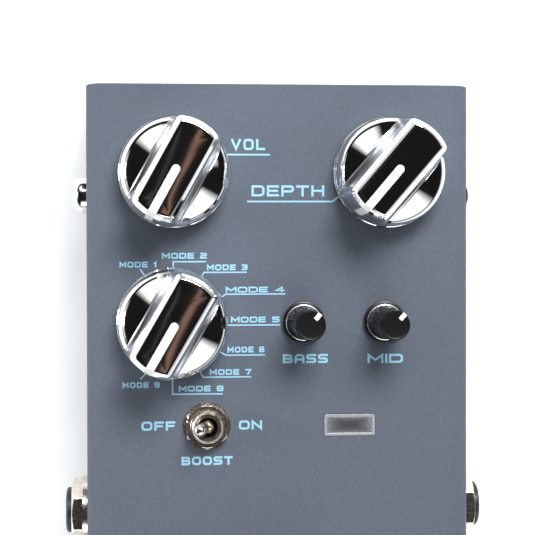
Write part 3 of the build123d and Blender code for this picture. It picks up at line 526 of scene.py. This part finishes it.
def knob_grooves():
    """Floor of both grooves, a lowered copy of the dome, with the drafted walls of the bar."""
    profile = [(WALL_RADIUS - LAP, SHOULDER_CENTRE - GROOVE_DROP)]
    for angle in quarter(ROUNDING_STEPS)[1:]:
        radius = SHOULDER_AT + SHOULDER * math.cos(angle)
        if radius > SHOULDER_JOIN:
            profile.append((radius - LAP, dome(radius) - GROOVE_DROP))
    radius = SHOULDER_JOIN
    while radius > GROOVE_STEP:
        profile.append((radius, dome(radius) - GROOVE_DROP))
        radius -= GROOVE_STEP
    walls = [bar_ring(height, 0.0) for height in (*BAR_LEVELS, WALL_TOP)]
    return joined(loft(turned(profile, KNOB_SEGMENTS), cap_last=True), loft(walls))


# the bar's rounded edge, as depth under the top and distance in from the wall
BEVEL_PROFILE = (
    (BEVEL_DROP + 0.1, 0.01),
    (BEVEL_DROP - 0.06, 0.05),
    (BEVEL_DROP - 0.22, 0.15),
    (BEVEL_DROP * 0.5, 0.46),
    (0.2, 0.82),
    (0.08, 0.95),
    (0.02, 1.04),
    (0.0, BAR_BEVEL),
)


def knob_bar():
    """Rounded edges and slightly crowned top of the grip bar."""
    rings = [bar_ring(WALL_TOP, 0.0)]
    for depth, inset in BEVEL_PROFILE:
        rings.append(bar_ring(BAR_TOP - depth, inset))
    for inset in BAR_TOP_INSETS:
        rings.append(bar_ring(BAR_TOP, inset))
    return loft(rings, cap_last=True)


def pointer_strip():
    """White line from the knob's axis along the bar's top and down its end."""
    top = KNOB_HEIGHT
    end = BAR_RADIUS + POINTER_RISE
    path = []
    for angle in quarter(ROUNDING_STEPS):
        path.append((-POINTER_HALF * math.cos(angle), top, max(0.04, POINTER_HALF * math.sin(angle))))
    for y in (1.5, 3.0, 4.5, 6.0, 7.5, end - BAR_BEVEL):
        path.append((y, top, POINTER_HALF))
    for depth, inset in reversed(BEVEL_PROFILE[:-1]):
        path.append((end - inset, top - depth, POINTER_HALF))
    height = top - BEVEL_DROP - 0.3
    while height > POINTER_FOOT:
        path.append((end + BAR_DRAFT * (KNOB_HEIGHT - height), height, POINTER_HALF))
        height -= 1.0
    points = []
    count = len(path)
    for index, (y, z, half) in enumerate(path):
        y0, z0, _ = path[max(0, index - 1)]
        y1, z1, _ = path[min(count - 1, index + 1)]
        length = math.hypot(y1 - y0, z1 - z0)
        out_y, out_z = -(z1 - z0) / length, (y1 - y0) / length
        for column in POINTER_COLUMNS:
            sink = POINTER_SINK if abs(column) == 1.0 else 0.0
            x = half * column
            bend = BAR_RADIUS - math.sqrt(BAR_RADIUS**2 - x**2) if z < top - 0.1 else 0.0
            points.append((x, y - out_y * sink - bend, z - out_z * sink))
    return points, grid_faces(count, len(POINTER_COLUMNS))


def control_piece(control, suffix, shape, place, material, replaced=None, sharp=40):
    """Piece of one control; place is the knob's middle, its heading and the height of its underside."""
    points, faces = shape
    points = placed(points, *place)
    nodes = (f"{control}_{replaced}",) if replaced else ()
    add_piece(f"{control}_{suffix}", points, faces, material, control + "_control", nodes, sharp)


for control, heading in BAR_KNOBS.items():
    place = (centre_of(control + "_knob"), heading, KNOB_BASE)
    skin = joined(knob_base(), cheek(1), cheek(-1), knob_bar())
    control_piece(control, "knob_chrome", skin, place, chrome, "knob", sharp=50)
    control_piece(control, "knob_grooves", knob_grooves(), place, groove_chrome, sharp=50)
    control_piece(control, "knob_line", pointer_strip(), place, pointer_white, "pointer")


# ---------------------------------------------------------------- small knobs
def knurled(radius, height, depth):
    """One ring of the knurled cone."""
    samples = KNURL_TEETH * KNURL_SAMPLES
    ring = []
    for i in range(samples):
        angle = 2 * math.pi * i / samples
        tooth = 0.5 + 0.5 * math.cos(KNURL_TEETH * angle)
        reach = radius - depth * (1 - tooth)
        ring.append((reach * math.cos(angle), reach * math.sin(angle), height))
    return ring


# the plain edge and top above the knurl, as inset from the crown, depth under the top and knurl depth
CROWN_PROFILE = (
    (0.0, 0.72, 0.06),
    (0.02, 0.6, 0.0),
    (0.04, 0.18, 0.0),
    (0.1, 0.06, 0.0),
    (0.24, 0.02, 0.0),
    (0.42, 0.1, 0.0),
    (0.7, 0.13, 0.0),
    (KNURL_CROWN - 0.4, 0.13, 0.0),
)


def small_grip():
    """Flange and knurled cone of a small knob, with its dished top."""
    flange = [
        (FLANGE_BORE, 0.0),
        (SMALL_FLANGE - 0.1, 0.0),
        (SMALL_FLANGE, 0.1),
        (SMALL_FLANGE, 0.75),
        (SMALL_FLANGE - 0.08, 0.93),
        (SMALL_FLANGE - 0.25, FLANGE_TOP),
        (KNURL_FOOT - 0.1, FLANGE_TOP + 0.02),
    ]
    cone = [knurled(KNURL_FOOT - 0.1, FLANGE_TOP, 0.0), knurled(KNURL_FOOT - 0.02, TAPER_START, 0.02)]
    for step in range(KNURL_RINGS):
        height = KNURL_START + (KNURL_END - KNURL_START) * step / (KNURL_RINGS - 1)
        rise = (height - TAPER_START) / (SMALL_HEIGHT - TAPER_START)
        cone.append(knurled(KNURL_FOOT + (KNURL_CROWN - KNURL_FOOT) * rise, height, KNURL_DEPTH))
    for inset, depth, knurl in CROWN_PROFILE:
        cone.append(knurled(KNURL_CROWN - inset, SMALL_HEIGHT - depth, knurl))
    return joined(loft(turned(flange)), loft(cone, cap_last=True))


def small_band():
    """Silver ring on the flange, round the foot of the cone."""
    profile = [
        (KNURL_FOOT - 0.02, FLANGE_TOP),
        (BAND_RADIUS, FLANGE_TOP),
        (BAND_RADIUS, FLANGE_TOP + 0.2),
        (BAND_RADIUS - 0.07, FLANGE_TOP + 0.36),
        (BAND_RADIUS - 0.2, FLANGE_TOP + 0.44),
        (KNURL_FOOT + 0.14, FLANGE_TOP + 0.45),
        (KNURL_FOOT - 0.02, FLANGE_TOP + 0.4),
    ]
    return loft(turned(profile))


def small_mark():
    """White mark over the rim of the knob's top."""
    top = SMALL_HEIGHT
    rim = KNURL_CROWN - 0.02
    rows = (
        (rim - 1.5, top - 0.1),
        (rim - 1.45, top - 0.02),
        (rim - 0.15, top),
        (rim, top - 0.08),
        (rim + 0.02, top - 0.6),
    )
    return [(x, y, z) for y, z in rows for x in (-MARK_HALF, MARK_HALF)], grid_faces(len(rows), 2)


for control, heading in SMALL_KNOBS.items():
    place = (centre_of(control + "_knob"), heading, SMALL_BASE)
    control_piece(control, "knob_grip", small_grip(), place, black_knob, "knob")
    control_piece(control, "knob_band", small_band(), place, silver, "knob_ring")
    control_piece(control, "knob_mark", small_mark(), place, pointer_white, "pointer")

# ---------------------------------------------------------------- footswitch spring
# a copy of the CAD spring with a mesh of its own, in place of the hidden CAD node
spring_node = frame["nodes"]["footswitch_spring"]
coil = bpy.data.objects.new("footswitch_coil", spring_node.data.copy())
coil.matrix_world = spring_node.matrix_world
bpy.context.scene.collection.objects.link(coil)
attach(coil, "housing")
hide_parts("footswitch_spring")
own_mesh(coil)

# ---------------------------------------------------------------- toggle nut
NUT_APOTHEM = 4.0
NUT_CORNER = 4.55
NUT_CROWN = 4.1
NUT_BORE = 3.02
NUT_SEGMENTS = 144
SIXTH = math.pi / 3
nut_low, nut_high = (corner[2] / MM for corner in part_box("toggle_nut"))


def nut_ring(limit, height):
    """Hexagon with corners to the front and the rear, cut back to a limiting radius."""
    ring = []
    for i in range(NUT_SEGMENTS):
        angle = 2 * math.pi * i / NUT_SEGMENTS
        from_flat = min(angle % SIXTH, SIXTH - angle % SIXTH)
        radius = min(NUT_APOTHEM / math.cos(from_flat), limit)
        ring.append((radius * math.cos(angle), radius * math.sin(angle), height))
    return ring


nut_rings = [nut_ring(NUT_CORNER, nut_low), nut_ring(NUT_CORNER, nut_high - 0.42)]
nut_rings += [nut_ring(NUT_CROWN + 0.06, nut_high - 0.07), nut_ring(NUT_CROWN - 0.06, nut_high)]
nut_bore = [(NUT_BORE + 0.3, nut_high), (NUT_BORE, nut_high - 0.25), (NUT_BORE, nut_low)]
nut_rings += turned(nut_bore, NUT_SEGMENTS)
points, faces = loft(nut_rings)
toggle_nut_at = centre_of("toggle_nut")
points = [(x + toggle_nut_at[0], y + toggle_nut_at[1], z) for x, y, z in points]
add_piece("toggle_nut_crowned", points, faces, nickel, "housing", ("toggle_nut",), sharp=25)

# ---------------------------------------------------------------- lamp window
WINDOW_HALF = (5.1, 2.15)
WINDOW_CENTRE = centre_of("led_window")
SHARPEST_CORNER = 0.08


def rounded_box(inset, height, corner=0.4, steps=6):
    """Rounded rectangle round the lamp window, inset from its outer edge."""
    radius = max(SHARPEST_CORNER, corner - inset)
    cx, cy = WINDOW_HALF[0] - inset - radius, WINDOW_HALF[1] - inset - radius
    ring = []
    for turn, (sx, sy) in enumerate(((1, 1), (-1, 1), (-1, -1), (1, -1))):
        for step in range(steps + 1):
            angle = math.pi / 2 * (turn + step / steps)
            ring.append(
                (
                    WINDOW_CENTRE[0] + sx * cx + radius * math.cos(angle),
                    WINDOW_CENTRE[1] + sy * cy + radius * math.sin(angle),
                    height,
                )
            )
    return ring


# both profiles are (inset from the window's outer edge, height above the panel)
RIM_PROFILE = (
    (0.0, 0.0),
    (0.0, 0.06),
    (0.04, 0.1),
    (0.16, 0.12),
    (0.36, 0.12),
    (0.5, 0.09),
    (0.6, 0.02),
    (0.64, -0.14),
)
LENS_PROFILE = ((0.45, -0.12), (0.46, 0.02), (0.7, 0.05), (1.0, 0.06))
# the rim carries the painted highlight of the window's edge
points, faces = loft([rounded_box(inset, PANEL + rise) for inset, rise in RIM_PROFILE])
add_piece("window_rim", points, faces, window_rim_painted_highlight, "housing")
points, faces = loft([rounded_box(inset, PANEL + rise) for inset, rise in LENS_PROFILE], cap_last=True)
add_piece("window_lens_painted_light", points, faces, window_lens_painted_light, "housing")

# ---------------------------------------------------------------- printed legends
INK_HEIGHT = PANEL + 0.02
# a letter's strokes lie at different heights and each rises along its way, so none share a plane
INK_LAYER = 0.03
INK_STEP = 0.003
MITRE_LIMIT = 0.45
SPACE_SHARE = 0.45
GAP_SHARE = 0.26
UNDERLINE = 0.34
MODE_HEIGHT = 1.15
# each letter: its strokes as points in a unit square, and its width as a share of the common width
GLYPHS = {
    "A": ([[(0, 0), (0, 0.72), (0.22, 1), (0.78, 1), (1, 0.72), (1, 0)], [(0, 0.38), (1, 0.38)]], 1.0),
    "B": (
        [
            [(0, 0), (0, 1), (0.8, 1), (0.93, 0.88), (0.93, 0.62), (0.8, 0.5), (0, 0.5)],
            [(0.8, 0.5), (1, 0.4), (1, 0.12), (0.86, 0), (0, 0)],
        ],
        1.0,
    ),
    "D": ([[(0, 0), (0, 1), (0.8, 1), (1, 0.8), (1, 0.2), (0.8, 0), (0, 0)]], 1.0),
    "E": ([[(1, 1), (0, 1), (0, 0), (1, 0)], [(0, 0.5), (0.9, 0.5)]], 0.92),
    "F": ([[(1, 1), (0, 1), (0, 0)], [(0, 0.48), (0.88, 0.48)]], 0.9),
    "H": ([[(0, 0), (0, 1)], [(1, 0), (1, 1)], [(0, 0.5), (1, 0.5)]], 1.0),
    "I": ([[(0.5, 0), (0.5, 1)]], 0.0),
    "L": ([[(0, 1), (0, 0), (1, 0)]], 0.88),
    "M": ([[(0, 0), (0, 1), (0.5, 0.3), (1, 1), (1, 0)]], 1.15),
    "N": ([[(0, 0), (0, 1), (1, 0), (1, 1)]], 1.0),
    "O": (
        [[(0.18, 0), (0.82, 0), (1, 0.18), (1, 0.82), (0.82, 1), (0.18, 1), (0, 0.82), (0, 0.18), (0.18, 0)]],
        1.05,
    ),
    "P": ([[(0, 0), (0, 1), (0.84, 1), (1, 0.86), (1, 0.58), (0.84, 0.44), (0, 0.44)]], 0.96),
    "S": (
        [
            [
                (1, 1), (0.16, 1), (0, 0.88), (0, 0.62), (0.16, 0.5),
                (0.84, 0.5), (1, 0.38), (1, 0.12), (0.84, 0), (0, 0),
            ]
        ],
        1.0,
    ),
    "T": ([[(0, 1), (1, 1)], [(0.5, 1), (0.5, 0)]], 0.98),
    "V": ([[(0, 1), (0.5, 0), (1, 1)]], 1.0),
    "1": ([[(0.1, 0.78), (0.6, 1), (0.6, 0)]], 0.5),
    "2": (
        [[(0, 1), (0.84, 1), (1, 0.88), (1, 0.62), (0.84, 0.5), (0.16, 0.5), (0, 0.38), (0, 0), (1, 0)]],
        0.95,
    ),
    "3": (
        [
            [(0, 1), (0.84, 1), (1, 0.88), (1, 0.62), (0.84, 0.5), (0.2, 0.5)],
            [(0.84, 0.5), (1, 0.38), (1, 0.12), (0.84, 0), (0, 0)],
        ],
        0.95,
    ),
    "4": ([[(0.76, 0), (0.76, 1), (0, 0.3), (1, 0.3)]], 1.0),
    "5": ([[(1, 1), (0, 1), (0, 0.56), (0.84, 0.56), (1, 0.42), (1, 0.14), (0.84, 0), (0, 0)]], 0.95),
    "6": (
        [
            [
                (0.94, 1), (0.18, 1), (0, 0.82), (0, 0.16), (0.16, 0),
                (0.84, 0), (1, 0.14), (1, 0.42), (0.84, 0.55), (0, 0.55),
            ]
        ],
        0.95,
    ),
    "7": ([[(0, 1), (1, 1), (0.42, 0)]], 0.95),
    "8": (
        [
            [
                (0.16, 0.5), (0, 0.62), (0, 0.88), (0.16, 1), (0.84, 1),
                (1, 0.88), (1, 0.62), (0.84, 0.5), (0.16, 0.5),
            ],
            [(0.16, 0.5), (0, 0.38), (0, 0.12), (0.16, 0), (0.84, 0), (1, 0.12), (1, 0.38), (0.84, 0.5)],
        ],
        0.95,
    ),
    "9": (
        [
            [
                (0.06, 0), (0.82, 0), (1, 0.18), (1, 0.84), (0.84, 1),
                (0.16, 1), (0, 0.86), (0, 0.58), (0.16, 0.45), (1, 0.45),
            ]
        ],
        0.95,
    ),
}

legend_points = []
legend_faces = []


def past_end(before, end, reach):
    """Point beyond a line's end by a reach."""
    length = math.hypot(end[0] - before[0], end[1] - before[1])
    return (end[0] + (end[0] - before[0]) * reach / length, end[1] + (end[1] - before[1]) * reach / length)


def stroke(path, width, layer=0):
    """Adds a printed line along a path, in millimetres, with mitred corners and square ends."""
    start = len(legend_points)
    count = len(path)
    height = INK_HEIGHT + INK_LAYER * layer
    is_loop = count > 2 and path[0] == path[-1]
    if not is_loop:
        path = [past_end(path[1], path[0], width / 2), *path[1:-1], past_end(path[-2], path[-1], width / 2)]
    for i, (x, y) in enumerate(path):
        before = path[i - 1] if i else (path[-2] if is_loop else None)
        after = path[i + 1] if i < count - 1 else (path[1] if is_loop else None)
        directions = []
        for a, b in ((before, (x, y)), ((x, y), after)):
            if a is not None and b is not None:
                length = math.hypot(b[0] - a[0], b[1] - a[1])
                directions.append(((b[0] - a[0]) / length, (b[1] - a[1]) / length))
        tangent_x = sum(d[0] for d in directions)
        tangent_y = sum(d[1] for d in directions)
        length = math.hypot(tangent_x, tangent_y)
        normal = (-tangent_y / length, tangent_x / length)
        spread = abs(directions[0][0] * normal[1] - directions[0][1] * normal[0])
        reach = width / 2 / max(MITRE_LIMIT, spread)
        rise = height + INK_STEP * i
        legend_points.append((x + normal[0] * reach, y + normal[1] * reach, rise))
        legend_points.append((x - normal[0] * reach, y - normal[1] * reach, rise))
    for i in range(count - 1):
        a = start + 2 * i
        legend_faces.append((a + 1, a + 3, a + 2, a))


def lettering(text, left, bottom, right, top, width):
    """Adds plain stroked letters that fill a box."""
    height = top - bottom - width
    gap = width + GAP_SHARE * height
    shares = [SPACE_SHARE if character == " " else GLYPHS[character][1] for character in text]
    unit = (right - left - width - gap * (len(text) - 1)) / sum(shares)
    x = left + width / 2
    for character, share in zip(text, shares):
        if character != " ":
            for layer, path in enumerate(GLYPHS[character][0]):
                drawn = [(x + unit * share * u, bottom + width / 2 + height * v) for u, v in path]
                stroke(drawn, width, layer)
        x += unit * share + gap


# widths of the strokes; each text is given with the left, bottom, right and top of its box on the panel
LARGE, MEDIUM, SMALL, LEADER = 0.46, 0.44, 0.3, 0.28
lettering("VOL", -9.6, 52.0, -2.9, 54.2, LARGE)
stroke([(-10.4, 51.1), (-2.1, 51.1)], UNDERLINE)
lettering("DEPTH", -5.6, 42.9, 8.8, 45.1, LARGE)
stroke([(-6.3, 41.9), (10.4, 41.9), (12.2, 43.3)], UNDERLINE)
lettering("OFF", -27.3, -3.0, -20.7, -1.2, MEDIUM)
lettering("ON", -8.2, -3.0, -3.6, -1.2, MEDIUM)
lettering("BOOST", -19.5, -9.9, -9.4, -8.2, MEDIUM)
lettering("BASS", 0.5, 10.0, 9.5, 11.8, MEDIUM)
lettering("MID", 17.4, 9.9, 24.5, 11.7, MEDIUM)
# text, left, bottom and right
MODE_TEXTS = (
    ("MODE 1", -31.5, 29.0, -24.1),
    ("MODE 2", -23.2, 30.7, -14.4),
    ("MODE 3", -14.4, 28.4, -6.4),
    ("MODE 4", -10.7, 24.0, 0.9),
    ("MODE 5", -9.7, 18.1, -0.1),
    ("MODE 6", -10.4, 12.2, -3.1),
    ("MODE 7", -13.9, 7.8, -5.7),
    ("MODE 8", -20.0, 4.6, -11.2),
    ("MODE 9", -31.0, 5.4, -23.7),
)
for text, left, bottom, right in MODE_TEXTS:
    lettering(text, left, bottom, right, bottom + MODE_HEIGHT, SMALL)
LEADERS = (
    [(-27.4, 28.6), (-26.4, 27.1)],
    [(-14.7, 30.1), (-21.0, 30.1), (-21.0, 28.4)],
    [(-6.7, 28.0), (-15.0, 28.0), (-15.7, 26.8)],
    [(0.9, 23.7), (-10.7, 23.7), (-11.9, 22.9)],
    [(-0.1, 17.6), (-10.5, 17.6)],
    [(-3.1, 11.7), (-10.7, 11.7), (-11.9, 12.4)],
    [(-5.9, 7.4), (-15.2, 7.4), (-15.8, 8.5)],
    [(-11.5, 4.1), (-21.2, 4.1), (-21.2, 7.1)],
    [(-27.4, 7.2), (-26.5, 8.2)],
)
for path in LEADERS:
    stroke(path, LEADER)
add_piece("panel_legends", legend_points, legend_faces, ink, "housing")

# ---------------------------------------------------------------- studio
scene = bpy.context.scene
scene.view_settings.view_transform = "Standard"

# the camera looks down from above the panel's left part, as in the photograph
CAMERA_LENS = 103.4
CAMERA_AT = (-0.0281, 0.034, 0.3395)
CAMERA_TURN = (-0.01664, -0.08485, -0.00192)
camera_data = bpy.data.cameras.new("camera")
camera_data.sensor_width = 36
camera_data.lens = CAMERA_LENS
camera_data.clip_start = 0.01
camera = bpy.data.objects.new("camera", camera_data)
camera.location = CAMERA_AT
camera.rotation_euler = CAMERA_TURN
scene.collection.objects.link(camera)
scene.camera = camera

FLOOR_HALF = 3.0
floor_corners = [(x * FLOOR_HALF, y * FLOOR_HALF, 0) for x, y in ((-1, -1), (1, -1), (1, 1), (-1, 1))]
floor_mesh = bpy.data.meshes.new("floor")
floor_mesh.from_pydata(floor_corners, [], [(0, 1, 2, 3)])
floor_material = node_material(
    "floor",
    (0.9, 0.91, 0.92),
    0.8,
    Emission_Color=(0.98, 1.0, 1.0, 1),
    Emission_Strength=0.45,
)
floor_mesh.materials.append(floor_material)
floor = bpy.data.objects.new("floor", floor_mesh)
scene.collection.objects.link(floor)

world = bpy.data.worlds.new("studio")
scene.world = world
world.use_nodes = True
sky = world.node_tree
direction = sky.nodes.new("ShaderNodeTexCoord")
split = sky.nodes.new("ShaderNodeSeparateXYZ")
sky.links.new(direction.outputs["Generated"], split.inputs["Vector"])


def grey_ramp(factor, stops):
    """Grey ramp in the world over a factor; stops are (position, level)."""
    return ramp(sky, factor, [(position, (level, level, level)) for position, level in stops])


# a dark room with bright panels; each panel is (compass stops, height stops), with the rear at 0.5 of the
# compass, the right at 0.75, the front at 0 and 1 and the left at 0.25
bearing = math_node(sky, "ARCTAN2", split.outputs["X"], split.outputs["Y"])
compass = math_node(sky, "MULTIPLY_ADD", bearing, 1 / (2 * math.pi), 0.5)
PANELS = (
    ([(0.355, 0), (0.385, 0.9), (0.455, 0.9), (0.485, 0)], [(0.38, 0), (0.44, 0.9), (0.8, 1), (0.88, 0)]),
    ([(0.58, 0), (0.61, 0.8), (0.7, 0.8), (0.73, 0)], [(0.5, 0), (0.56, 1), (0.8, 1), (0.88, 0)]),
    ([(0.82, 0), (0.85, 0.75), (0.99, 0.75), (1.0, 0.75)], [(0.2, 0), (0.28, 1), (0.74, 1), (0.84, 0)]),
    ([(0.0, 0.75), (0.01, 0.75), (0.04, 0.75), (0.08, 0)], [(0.2, 0), (0.28, 1), (0.66, 1), (0.8, 0)]),
    ([(0.18, 0), (0.21, 0.6), (0.3, 0.6), (0.33, 0)], [(0.2, 0), (0.25, 1), (0.34, 0.8), (0.42, 0)]),
    ([(0.0, 0.7), (0.5, 0.9), (0.66, 0.35), (0.9, 0.35)], [(0.0, 1), (0.01, 1), (0.1, 1), (0.16, 0)]),
)
ROOM_LEVEL = 0.006
studio_light = ROOM_LEVEL
for compass_stops, height_stops in PANELS:
    sideways = grey_ramp(compass, compass_stops)
    upright = grey_ramp(split.outputs["Z"], height_stops)
    mask = math_node(sky, "MULTIPLY", sideways, upright)
    studio_light = math_node(sky, "ADD", mask, studio_light)

# a warm, uneven streak and a dim line close to the zenith, seen in the flat tops of the bars
WAVER_SCALE = 42
WAVER_WIDTH = 0.05
STREAK_STOPS = [(0.045, 0), (0.048, 1), (0.062, 0.7), (0.067, 0)]
STREAK_COLOUR = (0.2, 0.115, 0.085, 1)
# the line's stops are moved by this much, because a ramp has no positions below 0
LINE_SHIFT = 0.1
LINE_STOPS = [(0.078, 0), (0.081, 0.3), (0.084, 0.3), (0.088, 0)]
LINE_SHARE = 0.2
STUDIO_STRENGTH = 1.6
streak_noise = sky.nodes.new("ShaderNodeTexNoise")
streak_noise.inputs["Scale"].default_value = WAVER_SCALE
streak_noise.inputs["Detail"].default_value = 4
sky.links.new(direction.outputs["Generated"], streak_noise.inputs["Vector"])
wavering = math_node(sky, "MULTIPLY_ADD", streak_noise.outputs["Fac"], WAVER_WIDTH, -WAVER_WIDTH / 2)
across = math_node(sky, "ADD", split.outputs["X"], wavering)
above = grey_ramp(split.outputs["Z"], [(0.97, 0), (0.985, 1)])
streak = math_node(sky, "MULTIPLY", grey_ramp(across, STREAK_STOPS), above)
shifted = math_node(sky, "ADD", across, LINE_SHIFT)
dim_line = math_node(sky, "MULTIPLY", grey_ramp(shifted, LINE_STOPS), above)
tinted = sky.nodes.new("ShaderNodeMix")
tinted.data_type = "RGBA"
sky.links.new(streak, tinted.inputs["Factor"])
sky.links.new(math_node(sky, "MULTIPLY_ADD", dim_line, LINE_SHARE, studio_light), tinted.inputs["A"])
tinted.inputs["B"].default_value = STREAK_COLOUR
sky.links.new(tinted.outputs["Result"], sky.nodes["Background"].inputs["Color"])
sky.nodes["Background"].inputs["Strength"].default_value = STUDIO_STRENGTH


def softbox(name, place, target, size, power):
    """Rectangular area light aimed at a point; all in metres and watts."""
    data = bpy.data.lights.new(name, "AREA")
    data.shape = "RECTANGLE"
    data.size, data.size_y = size
    data.energy = power
    lamp = bpy.data.objects.new(name, data)
    lamp.location = place
    aim = [target[i] - place[i] for i in range(3)]
    level = math.hypot(aim[0], aim[1])
    lamp.rotation_euler = (math.atan2(level, -aim[2]), 0, math.atan2(aim[1], aim[0]) - math.pi / 2)
    scene.collection.objects.link(lamp)


softbox("key", (0.08, 0.32, 0.43), (0, 0.02, 0.03), (0.22, 0.18), 2.6)
softbox("fill", (0.1, -1.1, 0.8), (0, 0, 0.03), (1.0, 0.5), 3.5)
softbox("left", (-1.1, 0.1, 0.28), (0, 0, 0.03), (0.3, 0.3), 4.5)
